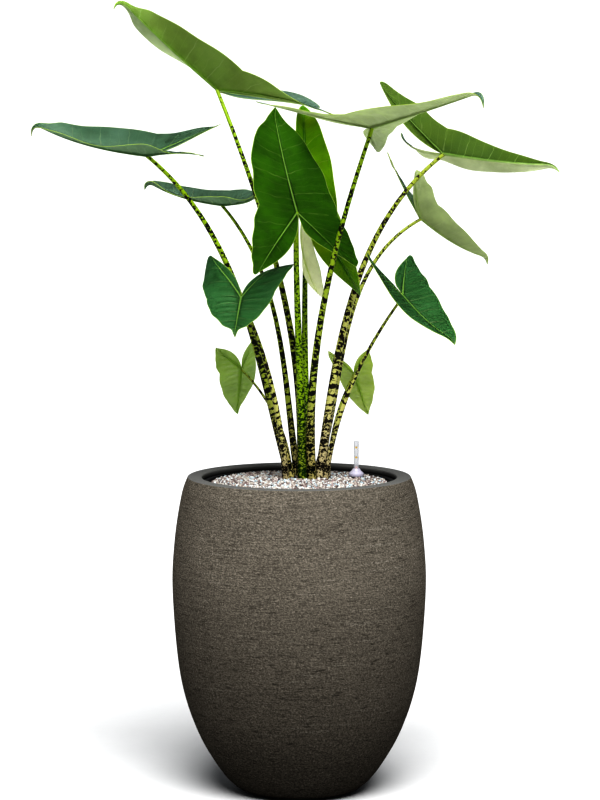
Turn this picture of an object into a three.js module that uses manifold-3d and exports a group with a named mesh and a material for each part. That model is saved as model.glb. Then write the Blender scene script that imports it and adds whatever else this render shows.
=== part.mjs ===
// Potted zebrina alocasia: a tall aroid with banded leaf stems, growing in clay granules in a
// round-bellied stone planter, with a water level gauge beside the stems.
// Millimetres, +Z up. The origin is the middle of the planter's foot, and -Y is the front.

import * as THREE from 'three';
import { mergeVertices } from 'three/addons/utils/BufferGeometryUtils.js';
import Module from 'manifold-3d';

// Planter: an egg-shaped shell with a flat lip turned in at the top
const PLANTER_HEIGHT = 506;
const FOOT_RADIUS = 74;
const BELLY_RADIUS = 201.5;
const BELLY_HEIGHT = 320;
const RIM_RADIUS = 177;
const MOUTH_RADIUS = 154;
const WALL = 10;
const LIP_DEPTH = 20;
const LIP_BEVEL = 2;
const FLOOR = 15;
const LEDGE_DEPTH = 11;
const LEDGE_RADIUS = 149;
const PLANTER_STEPS = 13;
const PLANTER_SIDES = 36;

// Touching pieces stand this far apart, and a cut piece has no finer detail than this
const SEAT = 0.3;
const TRIM_DETAIL = 0.1;

// Insert: a plastic tub that hangs by its flange on the ledge inside the mouth
const INSERT_FLANGE = 2;
const INSERT_PLAY = 0.8;
const INSERT_WALL = 2.2;
const INSERT_RADIUS = 148;
const INSERT_FOOT_RADIUS = 139;
const INSERT_DEPTH = 196;
const POT_SIDES = 36;

// Grow pot: 28 cm across and 19 cm high, standing in the insert
const POT_RADIUS = 141.5;
const POT_FOOT_RADIUS = 124;
const POT_WALL = 2;
const POT_HEIGHT = 189;

// Granules: a filled pot with a low mound of rounded stones on top
const MOUND_RADIUS = 141;
const MOUND_EDGE = 496;
const MOUND_TOP = 504;
const STONE_SPACING = 15;
const STONE_HEIGHT = 5;
const STONE_JITTER = 2;
const STONE_SEED = 7;
const STONE_ROOM = 20;
const SOCKET_FLOOR = 462;
const CLUMP_CORE = 14;

// Water level gauge: a clear tube with a collar and a float that rises in it
const GAUGE_X = 91;
const GAUGE_Y = 25;
const GAUGE_RADIUS = 4;
const GAUGE_BORE = 2.9;
const GAUGE_TOP = 559;
const GAUGE_CAP = 2;
const GAUGE_BEVEL = 1;
const GAUGE_SIDES = 12;
const COLLAR_RADIUS = 12;
const COLLAR_NECK = 5.5;
const COLLAR_BOTTOM = 503;
const COLLAR_BAND = 4.8;
const COLLAR_HEIGHT = 12;
const FLOAT_RADIUS = 2.1;
const FLOAT_TOP = 518;

// Leaves: blade thickness, how finely a blade and a stem are divided, and the outline's form.
// The widths fall from the sinus to the tip as 1 - share ** full, and the last stretch is drawn
// in by drip; to the lobe tips they fall as (1 - share ** LOBE_POWER) ** LOBE_ROUNDING.
const BLADE_THICKNESS = 1;
const BLADE_ROWS = 9;
const BLADE_COLUMNS = 2;
const INNER_COLUMNS = 1;
const STEM_SIDES = 8;
const STEM_STEPS = 12;
const STEM_OVERRUN = 2;
const VEIN_SWEEP = 42;
const LOBE_SWEEP = 38;
const HOOK_START = 0.84;
const LOBE_POWER = 2.2;
const LOBE_ROUNDING = 0.6;
const DRIP_START = 0.66;
const DRIP_LENGTH = 0.18;
const NOTCH_SHARE = 0.85;
const NOTCH_WAVE = 0.4;
const ROW_CROWDING = 1.4;
const BEND_POWER = 1.5;
const BEND_STEPS = 32;
const LEFT_WAVE_PHASE = 1.9;
const STEM_TAPER = 1.3;

// What each leaf has, with pairs given as left and right seen from above with the tip ahead:
// at: where the stem meets the blade; facing: azimuth, slope and roll of the rib in degrees;
// rib, lobes: length to the tip and to the two lobe tips; half: half width; spread: lobe angle;
// fold, curl: how far each half is raised at the rib and over its width;
// bend, hook: fall of the rib and of its tip; rise, turn: lift and turn of the lobes;
// spin: turn of the blade from the stem to the tip; wave: heights left and right, and count;
// inner: width of the strip along the notch; full, drip: form of the tip;
// route: stem points from the granules upward;
// stem: radius at the foot and below the blade.
const LEAVES = [
  {
    // Highest leaf, pointing up and left, seen from below
    name: '1', at: [-129, 90, 1115], facing: [200, 39, 28], rib: 232,
    lobes: [195, 165], half: 60, spread: 45, fold: [20, 52],
    curl: [-25, -15], bend: 8, hook: -100, rise: [28, -34],
    turn: [5, 85], spin: -60, wave: [7, 7, 1], inner: 0.15,
    full: 1.4, drip: 0.4, route: [[2, 4], [-10, 39, 711], [-58, 46, 915]], stem: [7, 2.8],
  },
  {
    // Long leaf at the left, upper side showing
    name: '2', at: [-235, -60, 1017], facing: [170, 6, -15], rib: 203,
    lobes: [145, 132], half: 57, spread: 40, fold: [36, 32],
    curl: [-10, -25], bend: 26, hook: -120, rise: [14, 36],
    turn: [-10, 0], spin: 15, wave: [4, 2, 1.5], inner: 0.15,
    full: 1.6, drip: 0.3, route: [[-13, 0], [-61, -12, 688], [-124, -28, 867]], stem: [8, 3],
  },
  {
    // Narrow leaf behind it, lower
    name: '3', at: [-123, 135, 930], facing: [166, 6, 0], rib: 141,
    lobes: [90, 65], half: 42, spread: 28, fold: [20, 36],
    curl: [-15, -10], bend: 27, hook: -100, rise: [27, 15],
    turn: [15, -5], spin: -5, wave: [6, -2, 1], inner: 0.15,
    full: 1.9, drip: 0, route: [[-2, 20], [-21, 58, 650], [-51, 97, 797]], stem: [6, 2.4],
  },
  {
    // Upright leaf in the middle, facing the front
    name: '4', at: [-3, -80, 929], facing: [113, 54, 17], rib: 190,
    lobes: [172, 104], half: 77, spread: 42, fold: [-8, 8],
    curl: [18, -5], bend: 8, hook: 20, rise: [-16, 22],
    turn: [0, -12], spin: 0, wave: [2, 1, 4], inner: 0.3,
    full: 2.1, drip: 0.2, route: [[5, -13], [2, -35, 646], [-3, -58, 787]], stem: [7.5, 4],
  },
  {
    // Upright leaf behind it, its left half folded over
    name: '5', at: [11, 52, 926], facing: [78, 95, 15], rib: 172,
    lobes: [145, 175], half: 57, spread: 38, fold: [60, 20],
    curl: [50, 25], bend: -36, hook: -10, rise: [-10, 14],
    turn: [0, 0], spin: 15, wave: [2, 4, 2], inner: 0.5,
    full: 2.1, drip: 0, route: [[17, 2], [10, 22, 643], [9, 54, 784]], stem: [7, 3.5],
  },
  {
    // Broad leaf at the upper right, seen from below
    name: '6', at: [110, -160, 1063], facing: [-42, 14, 2], rib: 238,
    lobes: [120, 178], half: 60, spread: 48, fold: [10, 32],
    curl: [-20, -18], bend: 2, hook: -100, rise: [-30, 6],
    turn: [-5, 30], spin: -15, wave: [-2, 2, 1.5], inner: 0.2,
    full: 1.3, drip: 0, route: [[20.5, -14.5], [25, -63, 697], [59, -112, 883]], stem: [7.5, 3],
  },
  {
    // Right-hand leaf, its tip turned so that the lower half hangs
    name: '7', at: [228, 60, 1015], facing: [-8, -9, -37], rib: 192,
    lobes: [125, 160], half: 42, spread: 35, fold: [22, 65],
    curl: [-10, 12], bend: 12, hook: -60, rise: [35, 10],
    turn: [35, -10], spin: 55, wave: [2, 2, 2], inner: 0.3,
    full: 1.3, drip: 0, route: [[32.5, 2], [60, 21, 688], [115, 41, 868]], stem: [8, 3],
  },
  {
    // Pale leaf below it, seen from below
    name: '8', at: [196, 130, 909], facing: [24, -38, -4], rib: 148,
    lobes: [146, 91], half: 40, spread: 38, fold: [54, 20],
    curl: [-22, 42], bend: 25, hook: -62, rise: [45, 7],
    turn: [12, -13], spin: 0, wave: [1, 1, 2.5], inner: 0.15,
    full: 2, drip: 0, route: [[24, 19], [60, 46, 650], [99, 93, 798]], stem: [6, 2.4],
  },
  {
    // Dark leaf at the right, hanging with its tip down
    name: '9', at: [161, -90, 801], facing: [-46, -38, -3], rib: 133,
    lobes: [93, 80], half: 52, spread: 38, fold: [19, 13],
    curl: [-8, 10], bend: 22, hook: -38, rise: [29, 16],
    turn: [-11, 11], spin: -15, wave: [3, -2, 1], inner: 0.3,
    full: 1.6, drip: 0, route: [[42, -11], [65, -37, 609], [106, -64, 708]], stem: [4.8, 2],
  },
  {
    // Dark leaf at the left, facing the front
    name: '10', at: [-90, -112, 799], facing: [-98, -38, 7], rib: 88,
    lobes: [104, 130], half: 56, spread: 32, fold: [12, 25],
    curl: [-12, -45], bend: 0, hook: -56, rise: [-65, 15],
    turn: [8, -14], spin: 4, wave: [1, -2, 1.3], inner: 0.2,
    full: 1.3, drip: 0.5, route: [[-21, -15], [-33, -45, 604], [-55, -75, 702]], stem: [5.5, 2.6],
  },
  {
    // Small low leaf at the left, hanging
    name: '11', at: [-93, 60, 672], facing: [98, -62, -39], rib: 90,
    lobes: [88, 50], half: 39, spread: 44, fold: [25, 12],
    curl: [-20, -5], bend: 8, hook: -38, rise: [22, 17],
    turn: [-22, 5], spin: -22, wave: [1, -3, 1], inner: 0.3,
    full: 1.5, drip: 0.1, route: [[-15, 18], [-24, 32, 563], [-52, 46, 621]], stem: [3.5, 1.6],
  },
  {
    // Small low leaf at the right, hanging
    name: '12', at: [88, 88, 662], facing: [63, -54, -10], rib: 90,
    lobes: [46, 70], half: 31, spread: 37, fold: [9, 7],
    curl: [14, -24], bend: -2, hook: 8, rise: [-7, 0],
    turn: [2, -14], spin: 28, wave: [1, -1, 1.5], inner: 0.2,
    full: 1.6, drip: 0.1, route: [[46, 8], [51, 31, 555], [64, 60, 607]], stem: [3.4, 1.6],
  },
];

const wasm = await Module();
wasm.setup();
const rad = THREE.MathUtils.degToRad;
const clamp = THREE.MathUtils.clamp;
const model = new THREE.Group();

// Finishes and named pieces
function finish(colour, roughness) {
  return new THREE.MeshStandardMaterial({ color: colour, roughness, metalness: 0 });
}

function addPiece(name, geometry, material) {
  const mesh = new THREE.Mesh(geometry, material);
  mesh.name = name;
  model.add(mesh);
  return mesh;
}

// Solids for cutting and joining
function toSolid(geometry) {
  const bare = geometry.clone();
  bare.deleteAttribute('normal');
  bare.deleteAttribute('uv');
  const merged = mergeVertices(bare, 1e-4);
  const mesh = new wasm.Mesh({
    numProp: 3,
    vertProperties: new Float32Array(merged.attributes.position.array),
    triVerts: new Uint32Array(merged.index.array),
  });
  return new wasm.Manifold(mesh);
}

function toGeometry(solid) {
  const mesh = solid.getMesh();
  const geometry = new THREE.BufferGeometry();
  geometry.setAttribute('position', new THREE.BufferAttribute(mesh.vertProperties, 3));
  geometry.setIndex(new THREE.BufferAttribute(mesh.triVerts, 1));
  geometry.computeVertexNormals();
  return geometry;
}

function fromTriangles(points, triangles) {
  const geometry = new THREE.BufferGeometry();
  const flat = new Float32Array(points.flatMap((p) => [p.x, p.y, p.z]));
  geometry.setAttribute('position', new THREE.BufferAttribute(flat, 3));
  geometry.setIndex(triangles.flat());
  geometry.computeVertexNormals();
  return geometry;
}

// Points closer than a small size become one, and triangles without three corners go
function withoutSlivers(geometry, size) {
  const points = [];
  const newIndex = [];
  for (let i = 0; i < geometry.attributes.position.count; i += 1) {
    const p = new THREE.Vector3().fromBufferAttribute(geometry.attributes.position, i);
    const near = points.findIndex((q) => q.distanceTo(p) < size);
    newIndex.push(near < 0 ? points.length : near);
    if (near < 0) points.push(p);
  }
  const triangles = [];
  for (let i = 0; i < geometry.index.count; i += 3) {
    const [a, b, c] = [0, 1, 2].map((k) => newIndex[geometry.index.getX(i + k)]);
    if (a !== b && b !== c && c !== a) triangles.push([a, b, c]);
  }
  return fromTriangles(points, triangles);
}

function largestBody(solid) {
  const bodies = solid.decompose();
  bodies.sort((a, b) => b.volume() - a.volume());
  return bodies[0];
}

// Turned pieces: a profile of radius and height, spun round the upright axis
function turned(profile, sides, x = 0, y = 0) {
  const points = profile.map(([r, z]) => new THREE.Vector2(r, z));
  const geometry = new THREE.LatheGeometry(points, sides);
  geometry.rotateX(Math.PI / 2);
  geometry.translate(x, y, 0);
  return geometry;
}

// Outer line of the planter from the foot to the rim
function planterLine(inset) {
  const line = new THREE.SplineCurve([
    new THREE.Vector2(FOOT_RADIUS, 0),
    new THREE.Vector2(101, 9),
    new THREE.Vector2(130, 41),
    new THREE.Vector2(165, 104),
    new THREE.Vector2(190, 190),
    new THREE.Vector2(BELLY_RADIUS, BELLY_HEIGHT),
    new THREE.Vector2(198, 405),
    new THREE.Vector2(187, 476),
    new THREE.Vector2(RIM_RADIUS, PLANTER_HEIGHT),
  ]);
  return line.getPoints(PLANTER_STEPS).map((p) => [Math.max(p.x - inset, 0), p.y]);
}

function planter() {
  const outside = planterLine(0);
  const underLip = PLANTER_HEIGHT - LIP_DEPTH;
  const inside = planterLine(WALL)
    .filter(([, z]) => z > FLOOR + WALL / 2 && z < underLip - WALL)
    .reverse();
  const ledge = PLANTER_HEIGHT - LEDGE_DEPTH;
  const profile = [
    [0, 0],
    ...outside,
    [MOUTH_RADIUS + LIP_BEVEL, PLANTER_HEIGHT],
    [MOUTH_RADIUS, PLANTER_HEIGHT - LIP_BEVEL],
    [MOUTH_RADIUS, ledge],
    [LEDGE_RADIUS, ledge],
    [LEDGE_RADIUS, underLip],
    ...inside,
    [FOOT_RADIUS + WALL, FLOOR],
    [0, FLOOR],
  ];
  return turned(profile, PLANTER_SIDES);
}

// A thin tub, open at the top, with an optional flange
function tub(top, bottom, topRadius, footRadius, wall, flange) {
  const rim = flange
    ? [[flange.radius, top - flange.height], [flange.radius, top]]
    : [[topRadius, top]];
  const neck = flange ? [[topRadius, top - flange.height]] : [];
  const profile = [
    [0, bottom],
    [footRadius, bottom],
    ...neck,
    ...rim,
    [topRadius - wall, top],
    [footRadius - wall, bottom + wall],
    [0, bottom + wall],
  ];
  return turned(profile, POT_SIDES);
}

const insertTop = PLANTER_HEIGHT - LEDGE_DEPTH + SEAT + INSERT_FLANGE;
const insertBottom = insertTop - INSERT_DEPTH;
const potBottom = insertBottom + INSERT_WALL + SEAT;
const potTop = potBottom + POT_HEIGHT;
const fillBottom = potBottom + POT_WALL + SEAT;

function insertTub() {
  const flange = { radius: MOUTH_RADIUS - INSERT_PLAY, height: INSERT_FLANGE };
  return tub(insertTop, insertBottom, INSERT_RADIUS, INSERT_FOOT_RADIUS, INSERT_WALL, flange);
}

function growPot() {
  return tub(potTop, potBottom, POT_RADIUS, POT_FOOT_RADIUS, POT_WALL);
}

// Repeatable draw of numbers between 0 and 1
function drawFrom(seed) {
  let state = seed;
  return () => {
    state = (state * 1664525 + 1013904223) % 4294967296;
    return state / 4294967296;
  };
}

// A field of stones: every third point of a triangular lattice is a peak, the others are valleys
function stoneField() {
  const draw = drawFrom(STONE_SEED);
  const step = STONE_SPACING / Math.sqrt(3);
  const reach = MOUND_RADIUS + 3 * STONE_SPACING;
  const rowStep = (step * Math.sqrt(3)) / 2;
  const rows = 2 * Math.ceil(reach / rowStep);
  const columns = 2 * Math.ceil(reach / step);
  const points = [];
  for (let j = 0; j <= rows; j += 1) {
    const shift = j % 2 ? 0.5 : 0;
    for (let i = 0; i <= columns; i += 1) {
      const x = (i + shift - columns / 2) * step;
      const y = (j - rows / 2) * rowStep;
      const skew = i - Math.floor(j / 2) + 2 * j;
      const isPeak = ((skew % 3) + 3) % 3 === 0;
      const r = Math.min(Math.hypot(x, y) / MOUND_RADIUS, 1);
      const ground = MOUND_TOP - (MOUND_TOP - MOUND_EDGE) * r * r;
      const lift = isPeak ? STONE_HEIGHT * (0.6 + 0.8 * draw()) : STONE_HEIGHT * 0.3 * draw();
      const dx = (draw() - 0.5) * STONE_JITTER;
      const dy = (draw() - 0.5) * STONE_JITTER;
      points.push(new THREE.Vector3(x + dx, y + dy, ground - STONE_HEIGHT / 2 + lift));
    }
  }
  const at = (i, j) => j * (columns + 1) + i;
  const triangles = [];
  for (let j = 0; j < rows; j += 1) {
    for (let i = 0; i < columns; i += 1) {
      const corners = [at(i, j), at(i + 1, j), at(i + 1, j + 1), at(i, j + 1)];
      if (j % 2) {
        triangles.push([corners[0], corners[1], corners[2]], [corners[0], corners[2], corners[3]]);
      } else {
        triangles.push([corners[0], corners[1], corners[3]], [corners[1], corners[2], corners[3]]);
      }
    }
  }
  // The field is closed by a fan to one point far below it
  const edge = [];
  for (let i = 0; i < columns; i += 1) edge.push(at(i, 0));
  for (let j = 0; j < rows; j += 1) edge.push(at(columns, j));
  for (let i = columns; i > 0; i -= 1) edge.push(at(i, rows));
  for (let j = rows; j > 0; j -= 1) edge.push(at(0, j));
  const apex = points.length;
  points.push(new THREE.Vector3(0, 0, -8 * PLANTER_HEIGHT));
  edge.forEach((a, k) => triangles.push([edge[(k + 1) % edge.length], a, apex]));
  return fromTriangles(points, triangles);
}

// Granules: the pot's filling with the stones on top, cut clear of the gauge and the stems
function granules(stemSolids) {
  const inPot = POT_RADIUS - POT_WALL - SEAT;
  const inFoot = POT_FOOT_RADIUS - POT_WALL - SEAT;
  const shoulder = potTop + SEAT;
  const column = turned(
    [
      [0, fillBottom],
      [inFoot, fillBottom],
      [inPot, potTop - 1],
      [inPot, shoulder],
      [MOUND_RADIUS, shoulder],
      [MOUND_RADIUS, MOUND_TOP + STONE_ROOM],
      [0, MOUND_TOP + STONE_ROOM],
    ],
    POT_SIDES,
  );
  let body = toSolid(column).intersect(toSolid(stoneField()));
  const bore = turned(
    [
      [0, potBottom],
      [GAUGE_RADIUS + SEAT, potBottom],
      [GAUGE_RADIUS + SEAT, COLLAR_BOTTOM - SEAT],
      [COLLAR_RADIUS + SEAT, COLLAR_BOTTOM - SEAT],
      [COLLAR_RADIUS + SEAT, COLLAR_BOTTOM + COLLAR_HEIGHT],
      [0, COLLAR_BOTTOM + COLLAR_HEIGHT],
    ],
    2 * GAUGE_SIDES,
    GAUGE_X,
    GAUGE_Y,
  );
  body = body.subtract(toSolid(bore));
  body = body.subtract(toSolid(clumpCore()));
  stemSolids.forEach((stem) => {
    body = body.subtract(stem);
  });
  return withoutSlivers(toGeometry(largestBody(body)), TRIM_DETAIL);
}

// The stems stand side by side, so one hole with a scalloped edge takes them all
function clumpCore() {
  const feet = LEAVES.map((leaf) => new THREE.Vector2(...leaf.route[0]));
  const middle = new THREE.Vector2();
  feet.forEach((foot) => middle.add(foot));
  middle.divideScalar(feet.length);
  const bearing = (foot) => Math.atan2(foot.y - middle.y, foot.x - middle.x);
  const ring = feet.filter((foot) => foot.distanceTo(middle) > CLUMP_CORE);
  ring.sort((a, b) => bearing(a) - bearing(b));
  const shape = new THREE.Shape(ring);
  const depth = MOUND_TOP + STONE_ROOM - SOCKET_FLOOR;
  const geometry = new THREE.ExtrudeGeometry(shape, { depth, bevelEnabled: false });
  geometry.translate(0, 0, SOCKET_FLOOR);
  return geometry;
}

// Gauge: the tube is closed on top and open below, and the float stands on the pot's floor
function gaugeTube() {
  const profile = [
    [0, GAUGE_TOP - GAUGE_CAP],
    [GAUGE_BORE, GAUGE_TOP - GAUGE_CAP],
    [GAUGE_BORE, fillBottom],
    [GAUGE_RADIUS, fillBottom],
    [GAUGE_RADIUS, GAUGE_TOP - GAUGE_BEVEL],
    [GAUGE_RADIUS - GAUGE_BEVEL, GAUGE_TOP],
    [0, GAUGE_TOP],
  ];
  return turned(profile, GAUGE_SIDES, GAUGE_X, GAUGE_Y);
}

function gaugeCollar() {
  const hole = GAUGE_RADIUS + SEAT;
  const top = COLLAR_BOTTOM + COLLAR_HEIGHT;
  const profile = [
    [hole, COLLAR_BOTTOM],
    [COLLAR_RADIUS, COLLAR_BOTTOM],
    [COLLAR_RADIUS, COLLAR_BOTTOM + COLLAR_BAND],
    [COLLAR_NECK, top],
    [hole, top],
    [hole, COLLAR_BOTTOM],
  ];
  return turned(profile, 2 * GAUGE_SIDES, GAUGE_X, GAUGE_Y);
}

function gaugeFloat() {
  const profile = [
    [0, fillBottom],
    [FLOAT_RADIUS, fillBottom],
    [FLOAT_RADIUS, FLOAT_TOP - GAUGE_BEVEL],
    [FLOAT_RADIUS - GAUGE_BEVEL, FLOAT_TOP],
    [0, FLOAT_TOP],
  ];
  return turned(profile, GAUGE_SIDES, GAUGE_X, GAUGE_Y);
}

// A share from 0 to 1 that starts and ends gently
function eased(share) {
  const t = clamp(share, 0, 1);
  return t * t * (3 - 2 * t);
}

// The rib as a bent line: distance ahead, height and slope at a share of its length
function bentLine(total, hook, length) {
  const steps = BEND_STEPS;
  const slope = (s) => {
    const late = eased((s - HOOK_START) / (1 - HOOK_START));
    return rad(total * s ** BEND_POWER + hook * late);
  };
  const ahead = [0];
  const height = [0];
  for (let k = 1; k <= steps; k += 1) {
    const mid = (slope((k - 1) / steps) + slope(k / steps)) / 2;
    ahead.push(ahead[k - 1] + (Math.cos(mid) * length) / steps);
    height.push(height[k - 1] + (Math.sin(mid) * length) / steps);
  }
  const between = (list, s) => {
    const k = Math.min(Math.floor(s * steps), steps - 1);
    return list[k] + (list[k + 1] - list[k]) * (s * steps - k);
  };
  return (s) => ({ ahead: between(ahead, s), height: between(height, s), slope: slope(s) });
}

// Where a point of the flat outline comes to lie in the folded, curled and bent blade
function bladePlacer(leaf, side) {
  const k = side < 0 ? 0 : 1;
  const fold = rad(leaf.fold[k]);
  const curve = rad(leaf.curl[k]) / leaf.half;
  const toTip = bentLine(leaf.bend, leaf.hook, leaf.rib);
  const toLobe = bentLine(leaf.rise[k], 0, leaf.lobes[k]);
  const waveHeight = leaf.wave[k];
  const waveCount = leaf.wave[2];
  const wavePhase = side > 0 ? 0 : LEFT_WAVE_PHASE;
  return (x, y, u, v) => {
    const angle = fold + curve * x;
    let across = x * Math.cos(fold);
    let up = x * Math.sin(fold);
    if (Math.abs(curve) > 1e-9) {
      across = (Math.sin(angle) - Math.sin(fold)) / curve;
      up = (Math.cos(fold) - Math.cos(angle)) / curve;
    }
    const ripple = Math.sin(2 * Math.PI * waveCount * v + wavePhase) * (1 - v ** 4);
    up += waveHeight * u * u * ripple;
    const share = y >= 0 ? y / leaf.rib : -y / leaf.lobes[k];
    const line = y >= 0 ? toTip(share) : toLobe(share);
    const back = y >= 0 ? 1 : -1;
    const turn = y >= 0 ? 0 : rad(leaf.turn[k]) * share;
    const x1 = side * (across * Math.cos(turn) - up * Math.sin(turn));
    const z1 = across * Math.sin(turn) + up * Math.cos(turn);
    const spin = y >= 0 ? rad(leaf.spin) * share : 0;
    const x2 = x1 * Math.cos(spin) - z1 * Math.sin(spin);
    const z2 = x1 * Math.sin(spin) + z1 * Math.cos(spin);
    const slope = back * line.slope;
    const ahead = back * line.ahead - z2 * Math.sin(slope);
    return new THREE.Vector3(x2, ahead, line.height + z2 * Math.cos(slope));
  };
}

// Half a blade as two grids of points: rib to margin, and lobe vein to notch
function halfBlade(leaf, side) {
  const k = side < 0 ? 0 : 1;
  const place = bladePlacer(leaf, side);
  const lobe = leaf.lobes[k];
  const spread = rad(leaf.spread);
  const rows = BLADE_ROWS;
  const station = (row) => {
    const t = row / rows;
    return Math.sign(t) * (1 - (1 - Math.abs(t)) ** ROW_CROWDING);
  };
  const outer = [];
  for (let row = -rows; row <= rows; row += 1) {
    const v = station(row);
    const a = Math.abs(v);
    const drawnIn = 1 - leaf.drip * eased((a - DRIP_START) / DRIP_LENGTH);
    const toTip = (1 - a ** leaf.full) * drawnIn;
    const taper = v >= 0 ? toTip : (1 - a ** LOBE_POWER) ** LOBE_ROUNDING;
    const width = leaf.half * taper;
    const sweep = rad(v >= 0 ? VEIN_SWEEP : LOBE_SWEEP) * v;
    const startX = v >= 0 ? 0 : lobe * a * Math.sin(spread);
    const startY = v >= 0 ? leaf.rib * v : -lobe * a * Math.cos(spread);
    const line = [];
    for (let column = 0; column <= BLADE_COLUMNS; column += 1) {
      const u = column / BLADE_COLUMNS;
      const x = startX + u * width * Math.cos(sweep);
      const y = startY + u * width * Math.sin(sweep);
      line.push(place(x, y, u, v));
    }
    outer.push(line);
  }
  const inner = [];
  for (let row = -rows; row <= 0; row += 1) {
    const v = station(row);
    const a = Math.abs(v);
    const wanted = leaf.inner * leaf.half * Math.sin(Math.PI * a ** 0.8);
    const width = Math.min(wanted, NOTCH_SHARE * lobe * a * Math.tan(spread));
    const line = [];
    for (let column = 0; column <= INNER_COLUMNS; column += 1) {
      const u = column / INNER_COLUMNS;
      const x = lobe * a * Math.sin(spread) - u * width * Math.cos(spread);
      const y = -lobe * a * Math.cos(spread) - u * width * Math.sin(spread);
      line.push(place(x, y, NOTCH_WAVE * u * Math.sqrt(a), v));
    }
    inner.push(line);
  }
  return { outer, inner };
}

// The whole blade as one sheet of shared points and triangles, upper side out
function bladeSheet(leaf) {
  const points = [];
  const keys = new Map();
  const indexOf = (p) => {
    const key = [p.x, p.y, p.z].map((value) => Math.round(value * 50)).join(' ');
    if (!keys.has(key)) {
      keys.set(key, points.length);
      points.push(p);
    }
    return keys.get(key);
  };
  const triangles = [];
  const addGrid = (grid, flip) => {
    for (let row = 0; row < grid.length - 1; row += 1) {
      for (let column = 0; column < grid[row].length - 1; column += 1) {
        const a = indexOf(grid[row][column]);
        const b = indexOf(grid[row + 1][column]);
        const c = indexOf(grid[row + 1][column + 1]);
        const d = indexOf(grid[row][column + 1]);
        const pair = row < BLADE_ROWS ? [[a, b, d], [b, c, d]] : [[a, b, c], [a, c, d]];
        pair.forEach(([p, q, r]) => {
          if (p === q || q === r || p === r) return;
          triangles.push(flip ? [p, r, q] : [p, q, r]);
        });
      }
    }
  };
  [-1, 1].forEach((side) => {
    const { outer, inner } = halfBlade(leaf, side);
    addGrid(outer, side > 0);
    addGrid(inner, side < 0);
  });
  return { points, triangles };
}

// A sheet made solid: both faces use the same triangles, and a wall closes the margin
function thicken(sheet, thickness) {
  const normals = sheet.points.map(() => new THREE.Vector3());
  const edges = new Map();
  sheet.triangles.forEach(([a, b, c]) => {
    const p = sheet.points[a];
    const normal = sheet.points[b].clone().sub(p).cross(sheet.points[c].clone().sub(p));
    [a, b, c].forEach((i) => normals[i].add(normal));
    [[a, b], [b, c], [c, a]].forEach(([m, n]) => {
      if (edges.has(`${n} ${m}`)) edges.delete(`${n} ${m}`);
      else edges.set(`${m} ${n}`, [m, n]);
    });
  });
  const count = sheet.points.length;
  const shifted = (amount) =>
    sheet.points.map((p, i) => p.clone().addScaledVector(normals[i].clone().normalize(), amount));
  const points = [...shifted(thickness / 2), ...shifted(-thickness / 2)];
  const triangles = [];
  sheet.triangles.forEach(([a, b, c]) => {
    triangles.push([a, b, c], [a + count, c + count, b + count]);
  });
  edges.forEach(([a, b]) => {
    triangles.push([b, a, a + count], [b, a + count, b + count]);
  });
  return fromTriangles(points, triangles);
}

// Turn and place of a leaf: X across, Y along the rib and Z up from the upper side
function leafMatrix(leaf) {
  const [azimuth, slope, roll] = leaf.facing.map(rad);
  const ahead = new THREE.Vector3(
    Math.cos(slope) * Math.cos(azimuth),
    Math.cos(slope) * Math.sin(azimuth),
    Math.sin(slope),
  );
  const level = new THREE.Vector3(
    -Math.sin(slope) * Math.cos(azimuth),
    -Math.sin(slope) * Math.sin(azimuth),
    Math.cos(slope),
  );
  const right = ahead.clone().cross(level);
  const up = level.clone().multiplyScalar(Math.cos(roll)).addScaledVector(right, Math.sin(roll));
  const across = ahead.clone().cross(up);
  const matrix = new THREE.Matrix4().makeBasis(across, ahead, up);
  return matrix.setPosition(...leaf.at);
}

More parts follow.
